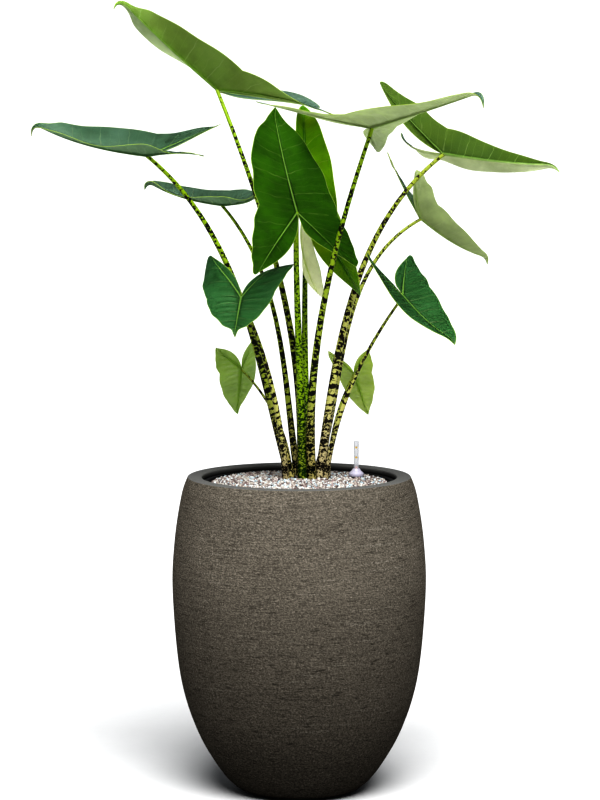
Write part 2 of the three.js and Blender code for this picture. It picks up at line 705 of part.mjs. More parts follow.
// A stem: a smooth tapered rod through its route, ending just under the blade
function stemGeometry(leaf, grow) {
  const [foot, low, high] = leaf.route;
  const [footRadius, topRadius] = leaf.stem;
  const matrix = leafMatrix(leaf);
  const normal = new THREE.Vector3().setFromMatrixColumn(matrix, 2);
  const rising = new THREE.Vector3(...leaf.at).sub(new THREE.Vector3(...high)).normalize();
  const drop = BLADE_THICKNESS / 2 + SEAT + topRadius * rising.cross(normal).length();
  const underside = new THREE.Vector3(0, STEM_OVERRUN, -drop).applyMatrix4(matrix);
  const knots = [
    new THREE.Vector3(foot[0], foot[1], PLANTER_HEIGHT - 3),
    new THREE.Vector3(...low),
    new THREE.Vector3(...high),
    underside,
  ];
  const through = (t) => {
    const weights = [
      -4.5 * (t - 1 / 3) * (t - 2 / 3) * (t - 1),
      13.5 * t * (t - 2 / 3) * (t - 1),
      -13.5 * t * (t - 1 / 3) * (t - 1),
      4.5 * t * (t - 1 / 3) * (t - 2 / 3),
    ];
    const p = new THREE.Vector3();
    knots.forEach((knot, i) => p.addScaledVector(knot, weights[i]));
    return p;
  };
  const floor = SOCKET_FLOOR + (grow > 0 ? 0 : SEAT);
  const rings = [{ p: new THREE.Vector3(foot[0], foot[1], floor), r: footRadius }];
  for (let step = 0; step <= STEM_STEPS; step += 1) {
    const t = step / STEM_STEPS;
    rings.push({ p: through(t), r: topRadius + (footRadius - topRadius) * (1 - t) ** STEM_TAPER });
  }
  const points = [];
  let across = new THREE.Vector3(1, 0, 0);
  rings.forEach((ring, i) => {
    const before = rings[Math.max(i - 1, 0)].p;
    const after = rings[Math.min(i + 1, rings.length - 1)].p;
    const along = i < 2 ? new THREE.Vector3(0, 0, 1) : after.clone().sub(before).normalize();
    across = across.clone().addScaledVector(along, -across.dot(along)).normalize();
    const other = along.clone().cross(across);
    for (let k = 0; k < STEM_SIDES; k += 1) {
      const angle = (2 * Math.PI * k) / STEM_SIDES;
      const p = ring.p.clone();
      p.addScaledVector(across, (ring.r + grow) * Math.cos(angle));
      p.addScaledVector(other, (ring.r + grow) * Math.sin(angle));
      points.push(p);
    }
  });
  const triangles = [];
  for (let i = 0; i < rings.length - 1; i += 1) {
    for (let k = 0; k < STEM_SIDES; k += 1) {
      const a = i * STEM_SIDES + k;
      const b = i * STEM_SIDES + ((k + 1) % STEM_SIDES);
      triangles.push([a, b, b + STEM_SIDES], [a, b + STEM_SIDES, a + STEM_SIDES]);
    }
  }
  const last = (rings.length - 1) * STEM_SIDES;
  for (let k = 1; k < STEM_SIDES - 1; k += 1) {
    triangles.push([0, k + 1, k], [last, last + k, last + k + 1]);
  }
  return fromTriangles(points, triangles);
}

// The planter and what it holds
addPiece('planter', planter(), finish('#5b5249', 0.85));
addPiece('insert_tub', insertTub(), finish('#17181a', 0.5));
addPiece('grow_pot', growPot(), finish('#1b1c1e', 0.6));
const sockets = LEAVES.map((leaf) => toSolid(stemGeometry(leaf, SEAT)));
addPiece('granules', granules(sockets), finish('#b8a79c', 0.9));
addPiece('gauge_tube', gaugeTube(), finish('#dfe6ea', 0.1));
addPiece('gauge_collar', gaugeCollar(), finish('#8d86a0', 0.3));
addPiece('gauge_float', gaugeFloat(), finish('#c8371f', 0.4));

// The leaves: each stem is trimmed to a small gap under its own blade
const bladeFinish = finish('#2f6b3c', 0.45);
const stemFinish = finish('#8fa24a', 0.5);
LEAVES.forEach((leaf) => {
  const matrix = leafMatrix(leaf);
  const sheet = bladeSheet(leaf);
  const blade = addPiece(`leaf_blade_${leaf.name}`, thicken(sheet, BLADE_THICKNESS), bladeFinish);
  blade.position.setFromMatrixPosition(matrix);
  blade.quaternion.setFromRotationMatrix(matrix);
  const clearance = thicken(sheet, BLADE_THICKNESS + 2 * SEAT).applyMatrix4(matrix);
  const trimmed = toSolid(stemGeometry(leaf, 0)).subtract(toSolid(clearance));
  const stem = withoutSlivers(toGeometry(largestBody(trimmed)), TRIM_DETAIL);
  addPiece(`leaf_stem_${leaf.name}`, stem, stemFinish);
});

export default model;
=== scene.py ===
# %% [markdown]
# # A potted zebrina alocasia
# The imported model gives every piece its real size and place. This lesson gives each piece its
# looks: smooth curved blades with veins, banded stems, loose clay granules, a rough planter and a
# clear water gauge. Everything is in metres, with Z up and the front towards -Y.

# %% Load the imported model
import math
import random

import bpy
import numpy as np
from mathutils import Matrix, Vector


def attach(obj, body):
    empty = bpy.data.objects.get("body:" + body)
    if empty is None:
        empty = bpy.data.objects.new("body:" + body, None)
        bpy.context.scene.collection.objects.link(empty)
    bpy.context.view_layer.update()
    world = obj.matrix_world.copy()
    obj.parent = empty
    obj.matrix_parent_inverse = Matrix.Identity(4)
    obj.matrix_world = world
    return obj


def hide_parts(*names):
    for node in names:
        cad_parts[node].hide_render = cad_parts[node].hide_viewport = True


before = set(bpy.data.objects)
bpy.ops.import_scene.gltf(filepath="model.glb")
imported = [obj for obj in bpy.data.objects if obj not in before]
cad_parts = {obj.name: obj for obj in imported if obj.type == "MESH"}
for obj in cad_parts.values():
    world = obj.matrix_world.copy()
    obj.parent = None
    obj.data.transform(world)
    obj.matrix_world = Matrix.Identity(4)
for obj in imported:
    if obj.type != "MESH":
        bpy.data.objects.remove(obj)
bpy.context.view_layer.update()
POT_BODY = "planted_pot"
FLOAT_BODY = "float"

# %% [markdown]
# ## Camera, floor and light
# A catalogue photograph of a tall plant is taken from far away with a long lens, so that the rim
# of the planter looks almost flat. The camera stands 5.5 m in front and looks down by six degrees.
# The colours are deep and clear, which a high contrast look gives without painting them darker.

# %% Camera
CAMERA_PLACE = (0.00126, -5.5, 1.21595)
CAMERA_DIP = math.radians(6.108)
CAMERA_LENS = 157.14
camera_data = bpy.data.cameras.new("camera")
camera_data.lens = CAMERA_LENS
camera = bpy.data.objects.new("camera", camera_data)
camera.location = CAMERA_PLACE
camera.rotation_euler = (math.pi / 2 - CAMERA_DIP, 0, 0)
bpy.context.scene.collection.objects.link(camera)
bpy.context.scene.camera = camera
bpy.context.scene.view_settings.view_transform = "Standard"
bpy.context.scene.view_settings.look = "Very High Contrast"
print("camera lens", CAMERA_LENS, "mm")

# %% [markdown]
# ## Helpers
# Blender's operators work on what is selected, in the mode that is set. These helpers set both.


# %% Small helpers for modelling
def only(obj):
    """Select one object alone and make it the active one."""
    bpy.ops.object.select_all(action="DESELECT")
    obj.select_set(True)
    bpy.context.view_layer.objects.active = obj


def edit(obj, action="SELECT"):
    """Open an object in edit mode with everything or nothing selected."""
    only(obj)
    bpy.ops.object.mode_set(mode="EDIT")
    bpy.ops.mesh.select_all(action=action)


def leave():
    bpy.ops.object.mode_set(mode="OBJECT")


def smooth(obj, degrees):
    """Shade an object smooth, apart from edges that are sharper than the angle."""
    only(obj)
    bpy.ops.object.shade_smooth_by_angle(angle=math.radians(degrees))


def modify(obj, kind, **settings):
    """Add a modifier, set it and apply it at once."""
    only(obj)
    modifier = obj.modifiers.new(kind.title(), kind)
    for name, value in settings.items():
        setattr(modifier, name, value)
    bpy.ops.object.modifier_apply(modifier=modifier.name)


def join(name, pieces):
    only(pieces[0])
    for piece in pieces:
        piece.select_set(True)
    bpy.ops.object.join()
    pieces[0].name = pieces[0].data.name = name
    return pieces[0]


def dress(piece, node, material=None, body=POT_BODY):
    """Apply the place, set the finish, tie the piece to its body and hide its CAD node."""
    only(piece)
    bpy.ops.object.transform_apply(location=True, rotation=True, scale=True)
    if material:
        piece.data.materials.clear()
        piece.data.materials.append(material)
    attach(piece, body)
    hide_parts(node)
    print(piece.name, "faces:", len(piece.data.polygons))


def points_of(mesh):
    return np.array([point.co for point in mesh.vertices])


# %% [markdown]
# ## Floor and light
# The plant is looked at from all sides, so the studio has no back wall: a wide floor runs out to
# the horizon, and a pale dome closes it above. Only the camera sees the dome. Its ray visibility
# is off for everything else, so it neither lights the plant nor shades it.

# %% Floor and dome
FLOOR_WIDTH = 280
DOME_RADIUS = 120


def floor_and_dome():
    bpy.ops.mesh.primitive_plane_add(size=FLOOR_WIDTH, location=(0, 0, 0))
    ground = bpy.context.object
    bpy.ops.mesh.primitive_uv_sphere_add(segments=64, ring_count=32, radius=DOME_RADIUS)
    dome = bpy.context.object
    ground.name, dome.name = "floor", "dome"
    for ray in ("diffuse", "glossy", "transmission", "volume_scatter", "shadow"):
        setattr(dome, f"visible_{ray}", False)
    print("floor", FLOOR_WIDTH, "m wide")
    return ground, dome


ground, dome = floor_and_dome()

# %% [markdown]
# The pot in the photograph is bright at its shoulder, dark at both flanks and nearly black at the
# foot. A sun lamp high in front does most of that: it grazes the flanks and leaves the foot in
# shade, and painted shade in the stone darkens the foot further. Its wide disc keeps the shadows
# soft, and a dim world fills them.

# %% Lights
SUN_PLACE = Vector((0.3, -2.3, 3.4))
SUN_TARGET = Vector((0, 0, 0.2))
SUN_POWER = 4.7
SUN_DISC = math.radians(40)
WORLD_COLOUR = (0.92, 0.96, 1, 1)
WORLD_STRENGTH = 0.18
sun_data = bpy.data.lights.new("key", "SUN")
sun_data.energy = SUN_POWER
sun_data.angle = SUN_DISC
sun = bpy.data.objects.new("key", sun_data)
sun.location = SUN_PLACE
sun.rotation_euler = (SUN_TARGET - SUN_PLACE).to_track_quat("-Z", "Y").to_euler()
bpy.context.scene.collection.objects.link(sun)
world = bpy.data.worlds.new("studio")
world.use_nodes = True
world.node_tree.nodes["Background"].inputs["Color"].default_value = WORLD_COLOUR
world.node_tree.nodes["Background"].inputs["Strength"].default_value = WORLD_STRENGTH
bpy.context.scene.world = world

# %% [markdown]
# ## Writing materials as sums
# Each finish is a small recipe of noise, masks and colours. A socket wrapped in the class below
# can be added, multiplied and subtracted like a number, and each sign adds one Math node. Colours
# go through Mix nodes, since a Math node would turn them grey.


# %% Shader recipes
def sign(operation):
    """A sign between two wires or numbers, as one Math node."""
    return lambda wire, other: wire.math(operation, other)


class Wire:
    """One output of a shader node, or a number on its way into one."""

    def __init__(self, finish, socket):
        self.finish = finish
        self.socket = socket

    def math(self, operation, *others, clamp=False):
        inputs = dict(enumerate((self, *others)))
        return self.finish.node("Math", inputs, operation=operation, use_clamp=clamp)

    __add__ = __radd__ = sign("ADD")
    __sub__ = sign("SUBTRACT")
    __mul__ = __rmul__ = sign("MULTIPLY")
    __truediv__ = sign("DIVIDE")
    __pow__ = sign("POWER")

    def __rsub__(self, other):
        return self * -1.0 + other

    def size(self):
        return self.math("ABSOLUTE")

    def within(self):
        """The value, kept between 0 and 1."""
        return self.math("ADD", 0.0, clamp=True)

    def fall(self, start, end):
        """1 below start, 0 above end, with a soft step between."""
        stops = {"Value": self, "From Min": start, "From Max": end, "To Min": 1.0, "To Max": 0.0}
        return self.finish.node("MapRange", stops, interpolation_type="SMOOTHSTEP")

    def rise(self, start, end):
        return 1.0 - self.fall(start, end)


class Finish:
    """A material under construction."""

    def __init__(self, name):
        self.material = bpy.data.materials.new(name)
        self.material.use_nodes = True
        self.tree = self.material.node_tree
        self.shader = self.tree.nodes["Principled BSDF"]

    def feed(self, socket, value):
        if isinstance(value, Wire):
            self.tree.links.new(value.socket, socket)
        elif isinstance(value, tuple) and len(value) == 3 and socket.type == "RGBA":
            socket.default_value = (*value, 1)
        else:
            socket.default_value = value

    def node(self, kind, inputs=None, out=0, **settings):
        node = self.tree.nodes.new("ShaderNode" + kind)
        for name, value in settings.items():
            setattr(node, name, value)
        for name, value in (inputs or {}).items():
            self.feed(node.inputs[name], value)
        return Wire(self, node.outputs[out])

    def blend(self, low, high, share):
        inputs = {"Factor": share, 6: low, 7: high}
        return self.node("Mix", inputs, out=2, data_type="RGBA")

    def scaled(self, colour, factor):
        inputs = {0: colour, "Scale": factor}
        return self.node("VectorMath", inputs, operation="SCALE")

    def place(self):
        return self.node("TexCoord", out="Object")

    def noise(self, scale, detail=2.0, rough=0.5, source=None):
        """Noise over the object's own coordinates, or over another source."""
        inputs = {"Vector": source or self.place(), "Scale": scale}
        inputs |= {"Detail": detail, "Roughness": rough}
        return self.node("TexNoise", inputs)

    def streaks(self, scale, detail, rough=0.5, tilt=0.0, source=None):
        """Noise with its own scale along each axis, tilted about Y."""
        inputs = {"Vector": source or self.place(), "Scale": scale, "Rotation": (0, tilt, 0)}
        return self.noise(1.0, detail, rough, self.node("Mapping", inputs))

    def cells(self, scale):
        """How far a point lies from the edges of a net of cells."""
        return self.node(
            "TexVoronoi", {"Vector": self.place(), "Scale": scale},
            out="Distance", feature="DISTANCE_TO_EDGE",
        )

    def split(self, source):
        parts = self.node("SeparateXYZ", {"Vector": source}).socket.node
        return [Wire(self, output) for output in parts.outputs]

    def map(self, name):
        """The two numbers of one of the piece's own UV maps."""
        return self.split(self.node("UVMap", uv_map=name))[:2]

    def bump(self, height, distance, strength=1.0):
        inputs = {"Height": height, "Distance": distance, "Strength": strength}
        return self.node("Bump", inputs)

    def done(self, **values):
        """Set the shader's sockets, given in lower case with underscores."""
        for name, value in values.items():
            label = name.replace("_", " ").title().replace("Ior", "IOR")
            self.feed(self.shader.inputs[label], value)
        return self.material


def mottled(name, low, high, scale, relief=0.0, **values):
    """A finish of two near tones, mixed by a noise that may also feed the bump."""
    finish = Finish(name)
    cloud = finish.noise(scale, 3.0)
    if relief:
        values["normal"] = finish.bump(cloud, relief, 0.3)
    return finish.done(base_color=finish.blend(low, high, cloud), **values)


print("recipes ready")

# %% [markdown]
# The floor is matt paper with a trace of fibre, and the dome glows like an evenly lit wall.

# %% Floor and dome finishes
PAPER_TONE = (0.55, 0.55, 0.55)
FIBRE_TONE = (0.572, 0.572, 0.572)
DOME_LIGHT = 0.78


def dome_glow():
    finish = Finish("dome_glow")
    haze = finish.noise(0.02, 1.0)
    tone = finish.blend((0.98, 0.98, 0.98), (1.0, 1.0, 1.0), haze)
    return finish.done(
        base_color=(0, 0, 0), emission_color=tone, emission_strength=DOME_LIGHT,
        specular_ior_level=0.0,
    )


paper = mottled(
    "floor_paper", PAPER_TONE, FIBRE_TONE, 60.0, roughness=0.9, specular_ior_level=0.1
)
ground.data.materials.append(paper)
dome.data.materials.append(dome_glow())

# %% [markdown]
# ## Planter
# The planter is one thick shell: an egg-shaped wall on a small flat foot, with a flat lip that
# turns in at the top. A potter would draw it up ring by ring, and so does this step: a filled
# circle is extruded and resized at each station of the outline, over the lip and down the inside
# again. The outline is a smooth curve through nine stations, the same as the solid's.


# %% Rings drawn up from a disc
def turned(name, sides, profile, centre=(0, 0)):
    """Extrude a disc from station to station of a profile of radius and height."""
    x, y = centre
    radius, height = profile[0]
    bpy.ops.mesh.primitive_circle_add(
        vertices=sides, radius=radius, fill_type="NGON", location=(x, y, height)
    )
    piece = bpy.context.object
    piece.name = piece.data.name = name
    edit(piece)
    for next_radius, next_height in profile[1:]:
        lift = {"value": (0, 0, next_height - height)}
        bpy.ops.mesh.extrude_region_move(TRANSFORM_OT_translate=lift)
        scale = next_radius / radius
        bpy.ops.transform.resize(value=(scale, scale, 1), center_override=(x, y, next_height))
        radius, height = next_radius, next_height
    bpy.ops.mesh.select_all(action="SELECT")
    bpy.ops.mesh.normals_make_consistent(inside=False)
    leave()
    return piece


def between(t, p, q, r, s):
    """A value a share t of the way from q to r, on a smooth curve through all four."""
    bend = (r - p) * t + (2 * p - 5 * q + 4 * r - s) * t * t + (3 * q - p - 3 * r + s) * t ** 3
    return 0.5 * (2 * q + bend)


def smooth_line(points, steps):
    last = len(points) - 1
    line = []
    for step in range(steps + 1):
        at = step / steps * last
        i = min(int(at), last - 1)
        near = (points[max(0, min(last, i + k))] for k in (-1, 0, 1, 2))
        line.append(tuple(between(at - i, *four) for four in zip(*near)))
    return line


# %% Planter wall
PLANTER_HEIGHT = 0.506
PLANTER_OUTLINE = [
    (0.074, 0), (0.101, 0.009), (0.13, 0.041), (0.165, 0.104), (0.19, 0.19),
    (0.2015, 0.32), (0.198, 0.405), (0.187, 0.476), (0.177, PLANTER_HEIGHT),
]
MOUTH_RADIUS = 0.154
LIP_RADII = (0.1715, 0.1635, 0.156)
WALL = 0.01
LIP_DEPTH = 0.02
LEDGE_DEPTH = 0.011
LEDGE_RADIUS = 0.149
FLOOR_RADIUS = 0.084
FLOOR_LEVEL = 0.015
CENTRE_RADIUS = 0.02
PLANTER_SIDES = 192
OUTSIDE_RINGS = 72
INSIDE_STEP = 6


def planter():
    outside = smooth_line(PLANTER_OUTLINE, OUTSIDE_RINGS)
    under_lip = PLANTER_HEIGHT - LIP_DEPTH
    ledge = PLANTER_HEIGHT - LEDGE_DEPTH
    lowest, highest = FLOOR_LEVEL + WALL, under_lip - WALL
    inside = [(r - WALL, z) for r, z in outside[::-INSIDE_STEP] if lowest < z < highest]
    lip = [(r, PLANTER_HEIGHT) for r in LIP_RADII]
    throat = [(MOUTH_RADIUS, PLANTER_HEIGHT - 0.002), (MOUTH_RADIUS, ledge)]
    shelf = [(LEDGE_RADIUS, ledge), (LEDGE_RADIUS, under_lip)]
    bottom = [(FLOOR_RADIUS, FLOOR_LEVEL), (CENTRE_RADIUS, FLOOR_LEVEL)]
    profile = outside + lip + throat + shelf + inside + bottom
    piece = turned("planter_shell", PLANTER_SIDES, profile)
    modify(piece, "BEVEL", width=0.0016, segments=3, limit_method="ANGLE", angle_limit=0.6)
    smooth(piece, 40)
    return piece


planter_shell = planter()

# %% [markdown]
# The wall looks like rough sandstone: dark taupe, full of pale grains and small pits, with long
# faint scratches that run round it and rise a little to the right. Three noises give it: one for
# the grains, one stretched round the pot for the pits and one stretched further for the
# scratches. Grains and pits also feed the bump, so that the light catches them, and painted shade
# darkens the stone towards the foot. The lip and the mouth are smoother and greyer, and painted
# shade turns the mouth and the inside nearly black.

# %% Rough stone
STONE_DARK = (0.082, 0.074, 0.062)
STONE_LIGHT = (0.17, 0.153, 0.128)
STONE_GRAIN = (0.32, 0.29, 0.25)
STONE_PIT = (0.04, 0.036, 0.03)
STONE_SCRATCH = (0.34, 0.32, 0.28)
BRUSH_TILT = math.radians(3)
SCRATCH_TILT = math.radians(8)
STONE_RELIEF = 0.0024


def rough_stone():
    finish = Finish("rough_stone")
    height = finish.split(finish.place())[2]
    drift = finish.streaks((5, 5, 14), 2.0)
    grain = finish.streaks((330, 330, 460), 3.0, 0.75, BRUSH_TILT)
    pit = finish.streaks((40, 40, 300), 4.0, 0.7, BRUSH_TILT)
    scratch = finish.streaks((10, 10, 300), 3.0, tilt=SCRATCH_TILT)
    scratched = scratch.rise(0.6, 0.66) * grain.rise(0.4, 0.6)
    tone = finish.blend(STONE_DARK, STONE_LIGHT, grain.rise(0.36, 0.62))
    tone = finish.blend(tone, STONE_GRAIN, grain.rise(0.6, 0.74))
    tone = finish.blend(tone, STONE_PIT, pit.fall(0.34, 0.44) * 0.65)
    tone = finish.blend(tone, STONE_SCRATCH, scratched * 0.22)
    # Painted shade: the stone's colour is darkened towards the foot.
    shade = 0.29 + 0.31 * height.rise(-0.03, 0.2) + 0.4 * height.rise(0.16, 0.42)
    return finish.done(
        base_color=finish.scaled(tone, shade * (0.86 + 0.28 * drift)), roughness=0.9,
        normal=finish.bump(grain * 0.9 + pit * 0.9, STONE_RELIEF), specular_ior_level=0.0,
    )


# %% Smooth lip
LIP_DARK = (0.11, 0.109, 0.105)
LIP_LIGHT = (0.155, 0.153, 0.148)
DEEP_SHADE = (0.006, 0.006, 0.006)
LIP_REACH = 0.0005
FACING_IN = -0.00001
FACING_UP = 0.9
OVER_FOOT = 0.01


def lip_stone():
    """Grey on the lip, with painted shade that turns it nearly black down in the mouth and inside.
    """
    finish = Finish("lip_stone")
    cloud = finish.noise(90.0, 4.0, 0.6)
    grains = finish.noise(700.0, 2.0)
    x, y, z = finish.split(finish.place())
    radius = (x * x + y * y) ** 0.5
    depth = z.rise(0.496, 0.508)
    tone = finish.blend(LIP_DARK, LIP_LIGHT, cloud * 0.6 + grains * 0.4)
    # Painted shade: the mouth and the inside are blended to nearly black.
    tone = finish.blend(DEEP_SHADE, tone, depth * radius.rise(0.1, 0.15))
    return finish.done(
        base_color=tone, roughness=0.6, normal=finish.bump(grains + cloud, 0.0004, 0.5),
        specular_ior_level=0.15,
    )


planter_shell.data.materials.append(rough_stone())
planter_shell.data.materials.append(lip_stone())
# The lip, the mouth and the inside take the lip finish, with its painted shade inside.
for face in planter_shell.data.polygons:
    on_lip = face.center.z > PLANTER_HEIGHT - LIP_REACH
    outward = face.normal.xy.dot(face.center.xy)
    upward = face.normal.z > FACING_UP and face.center.z > OVER_FOOT
    within = outward < FACING_IN or upward
    face.material_index = 1 if on_lip or within else 0
dress(planter_shell, "planter")

# %% [markdown]
# ## Insert and grow pot
# Inside the planter hangs a watertight black tub by its flange, and in it stands the culture pot
# with the granules. Only the flange and the dark gap show from above, but both are whole. They
# are drawn up from discs too, out and back in again.

# %% Two plastic pots
TUB_TOP = 0.4973
TUB_BOTTOM = 0.3013
TUB_FLANGE = 0.002
TUB_FLOOR = 0.0022
POT_BOTTOM = 0.3038
POT_TOP = 0.4928
POT_FLOOR = 0.002
CLEAN_BLACK = (0.01, 0.01, 0.011)
DUSTY_BLACK = (0.035, 0.033, 0.03)


def black_plastic():
    finish = Finish("black_plastic")
    skin = finish.noise(900.0, 2.0)
    dust = finish.noise(60.0, 5.0, 0.7)
    tone = finish.blend(CLEAN_BLACK, DUSTY_BLACK, dust.rise(0.5, 0.8))
    return finish.done(
        base_color=tone, roughness=0.45 + 0.2 * dust, normal=finish.bump(skin, 0.0001, 0.4)
    )


pot_finish = black_plastic()
insert_tub = turned(
    "insert_shell", 120,
    [(0.139, TUB_BOTTOM), (0.1478, TUB_TOP - TUB_FLANGE), (0.1532, TUB_TOP - TUB_FLANGE),
     (0.1532, TUB_TOP), (0.1458, TUB_TOP), (0.1368, TUB_BOTTOM + TUB_FLOOR),
     (CENTRE_RADIUS, TUB_BOTTOM + TUB_FLOOR)],
)
grow_pot = turned(
    "grow_pot_shell", 120,
    [(0.124, POT_BOTTOM), (0.1412, POT_TOP), (0.1395, POT_TOP), (0.122, POT_BOTTOM + POT_FLOOR),
     (CENTRE_RADIUS, POT_BOTTOM + POT_FLOOR)],
)
for piece, node in ((insert_tub, "insert_tub"), (grow_pot, "grow_pot")):
    modify(piece, "BEVEL", width=0.0005, segments=2, limit_method="ANGLE", angle_limit=0.6)
    smooth(piece, 35)
    dress(piece, node, pot_finish)

# %% [markdown]
# ## Granules
# The pot is filled with a coarse mineral mix of crumbs 3 to 7 mm across: cream, pinkish beige,
# mauve brown, white and a few bluish ones. Thousands of loose crumbs can't be set by hand. Six
# crumbs are modelled from bevelled cubes, and a seeded draw lays copies of them on a jittered
# lattice in two layers over the pot's filling. Each copy keeps a number for its colour.

# %% Crumb models
CRUMB_MODELS = 6
draw = random.Random(7)


def crumb(number):
    """A cube with its edges cut off and its corners pushed about."""
    bpy.ops.mesh.primitive_cube_add(size=1.5, location=(0, 0, 0))
    piece = bpy.context.object
    edit(piece)
    bpy.ops.mesh.bevel(offset=0.42, segments=1, affect="EDGES")
    bpy.ops.transform.vertex_random(offset=0.3, uniform=0.4, normal=0.5, seed=number)
    squeeze = [draw.uniform(0.75, 1.2) for _ in range(3)]
    bpy.ops.transform.resize(value=squeeze, center_override=(0, 0, 0))
    bpy.ops.mesh.normals_make_consistent(inside=False)
    leave()
    return piece


crumbs = [crumb(number) for number in range(CRUMB_MODELS)]
print("crumb faces:", len(crumbs[0].data.polygons))

# %% Laying the crumbs
MOUND_RADIUS = 0.1385
MOUND_EDGE = 0.496
MOUND_TOP = 0.5035
GAUGE_PLACE = (0.091, 0.025)
GAUGE_ROOM = 0.0105
ROW_STEP = 0.866
JITTER = 0.3
UNEVEN = 0.0012


def mound(radius):
    return MOUND_TOP - (MOUND_TOP - MOUND_EDGE) * (radius / MOUND_RADIUS) ** 2


def layer(name, spacing, sink, size, feet):
    """Copy the crumbs over the mound, each turned and scaled by the draw."""
    models = [
        (points_of(piece.data), [tuple(face.vertices) for face in piece.data.polygons])
        for piece in crumbs
    ]
    taken = [*feet, (*GAUGE_PLACE, GAUGE_ROOM)]
    vertices, faces, tones = [], [], []
    rows = int(MOUND_RADIUS / (spacing * ROW_STEP)) + 1
    for row in range(-rows, rows + 1):
        for column in range(-rows - 1, rows + 2):
            x = (column + row % 2 / 2) * spacing + draw.uniform(-JITTER, JITTER) * spacing
            y = row * spacing * ROW_STEP + draw.uniform(-JITTER, JITTER) * spacing
            radius = math.hypot(x, y)
            covered = any(math.hypot(x - tx, y - ty) < room for tx, ty, room in taken)
            if radius > MOUND_RADIUS or covered:
                continue
            corners, polygons = models[draw.randrange(len(models))]
            turn = Matrix.Rotation(draw.uniform(0, math.tau), 3, "Z")
            turn = turn @ Matrix.Rotation(draw.uniform(0, math.tau), 3, "X")
            scale = draw.uniform(*size)
            z = mound(radius) + draw.uniform(-UNEVEN, UNEVEN) - sink
            first = len(tones)
            vertices.append(corners @ np.array(turn).T * scale + (x, y, z))
            faces.extend(tuple(first + i for i in polygon) for polygon in polygons)
            tones.extend([draw.random()] * len(corners))
    mesh = bpy.data.meshes.new(name)
    mesh.from_pydata(np.concatenate(vertices).tolist(), [], faces)
    tone = mesh.attributes.new("tone", "FLOAT", "POINT")
    tone.data.foreach_set("value", tones)
    piece = bpy.data.objects.new(name, mesh)
    bpy.context.scene.collection.objects.link(piece)
    print(name, "crumbs:", len(faces) // len(models[0][1]))
    return piece


# %% Crumb colours
CRUMB_COLOURS = [
    (0.00, (0.4, 0.36, 0.32)), (0.22, (0.19, 0.15, 0.14)), (0.42, (0.49, 0.47, 0.44)),
    (0.6, (0.29, 0.23, 0.22)), (0.72, (0.58, 0.6, 0.6)), (0.86, (0.4, 0.5, 0.55)),
    (0.93, (0.09, 0.08, 0.08)),
]
SPECK_COLOUR = (0.25, 0.2, 0.18)


def crumb_stone(name, depth):
    """Each crumb takes one of the colours by its number. Depth below 1 darkens them all as painted
    shade.
    """
    finish = Finish(name)
    tone = finish.node("Attribute", attribute_name="tone", out="Fac")
    ramp = finish.node("ValToRGB", {"Fac": tone})
    stops = ramp.socket.node.color_ramp
    stops.interpolation = "CONSTANT"
    for at, colour in CRUMB_COLOURS[1:]:
        stops.elements.new(at)
    for stop, (at, colour) in zip(stops.elements, CRUMB_COLOURS):
        stop.position = at
        stop.color = (*(depth * part for part in colour), 1)
    speck = finish.noise(900.0, 3.0, 0.6)
    dark = tuple(depth * part for part in SPECK_COLOUR)
    colour = finish.blend(ramp, dark, speck.rise(0.5, 0.75) * 0.6)
    return finish.done(base_color=colour, roughness=0.85, normal=finish.bump(speck, 0.0008, 0.5))


# %% [markdown]
# ## Leaves
# Every leaf is one arrow-shaped blade on one stem. The list says where each blade hangs, how its
# rib runs and how its halves are folded, curled and turned. Pairs are left and right, seen from
# above with the tip ahead. These are the same values as the solids have, here in metres.

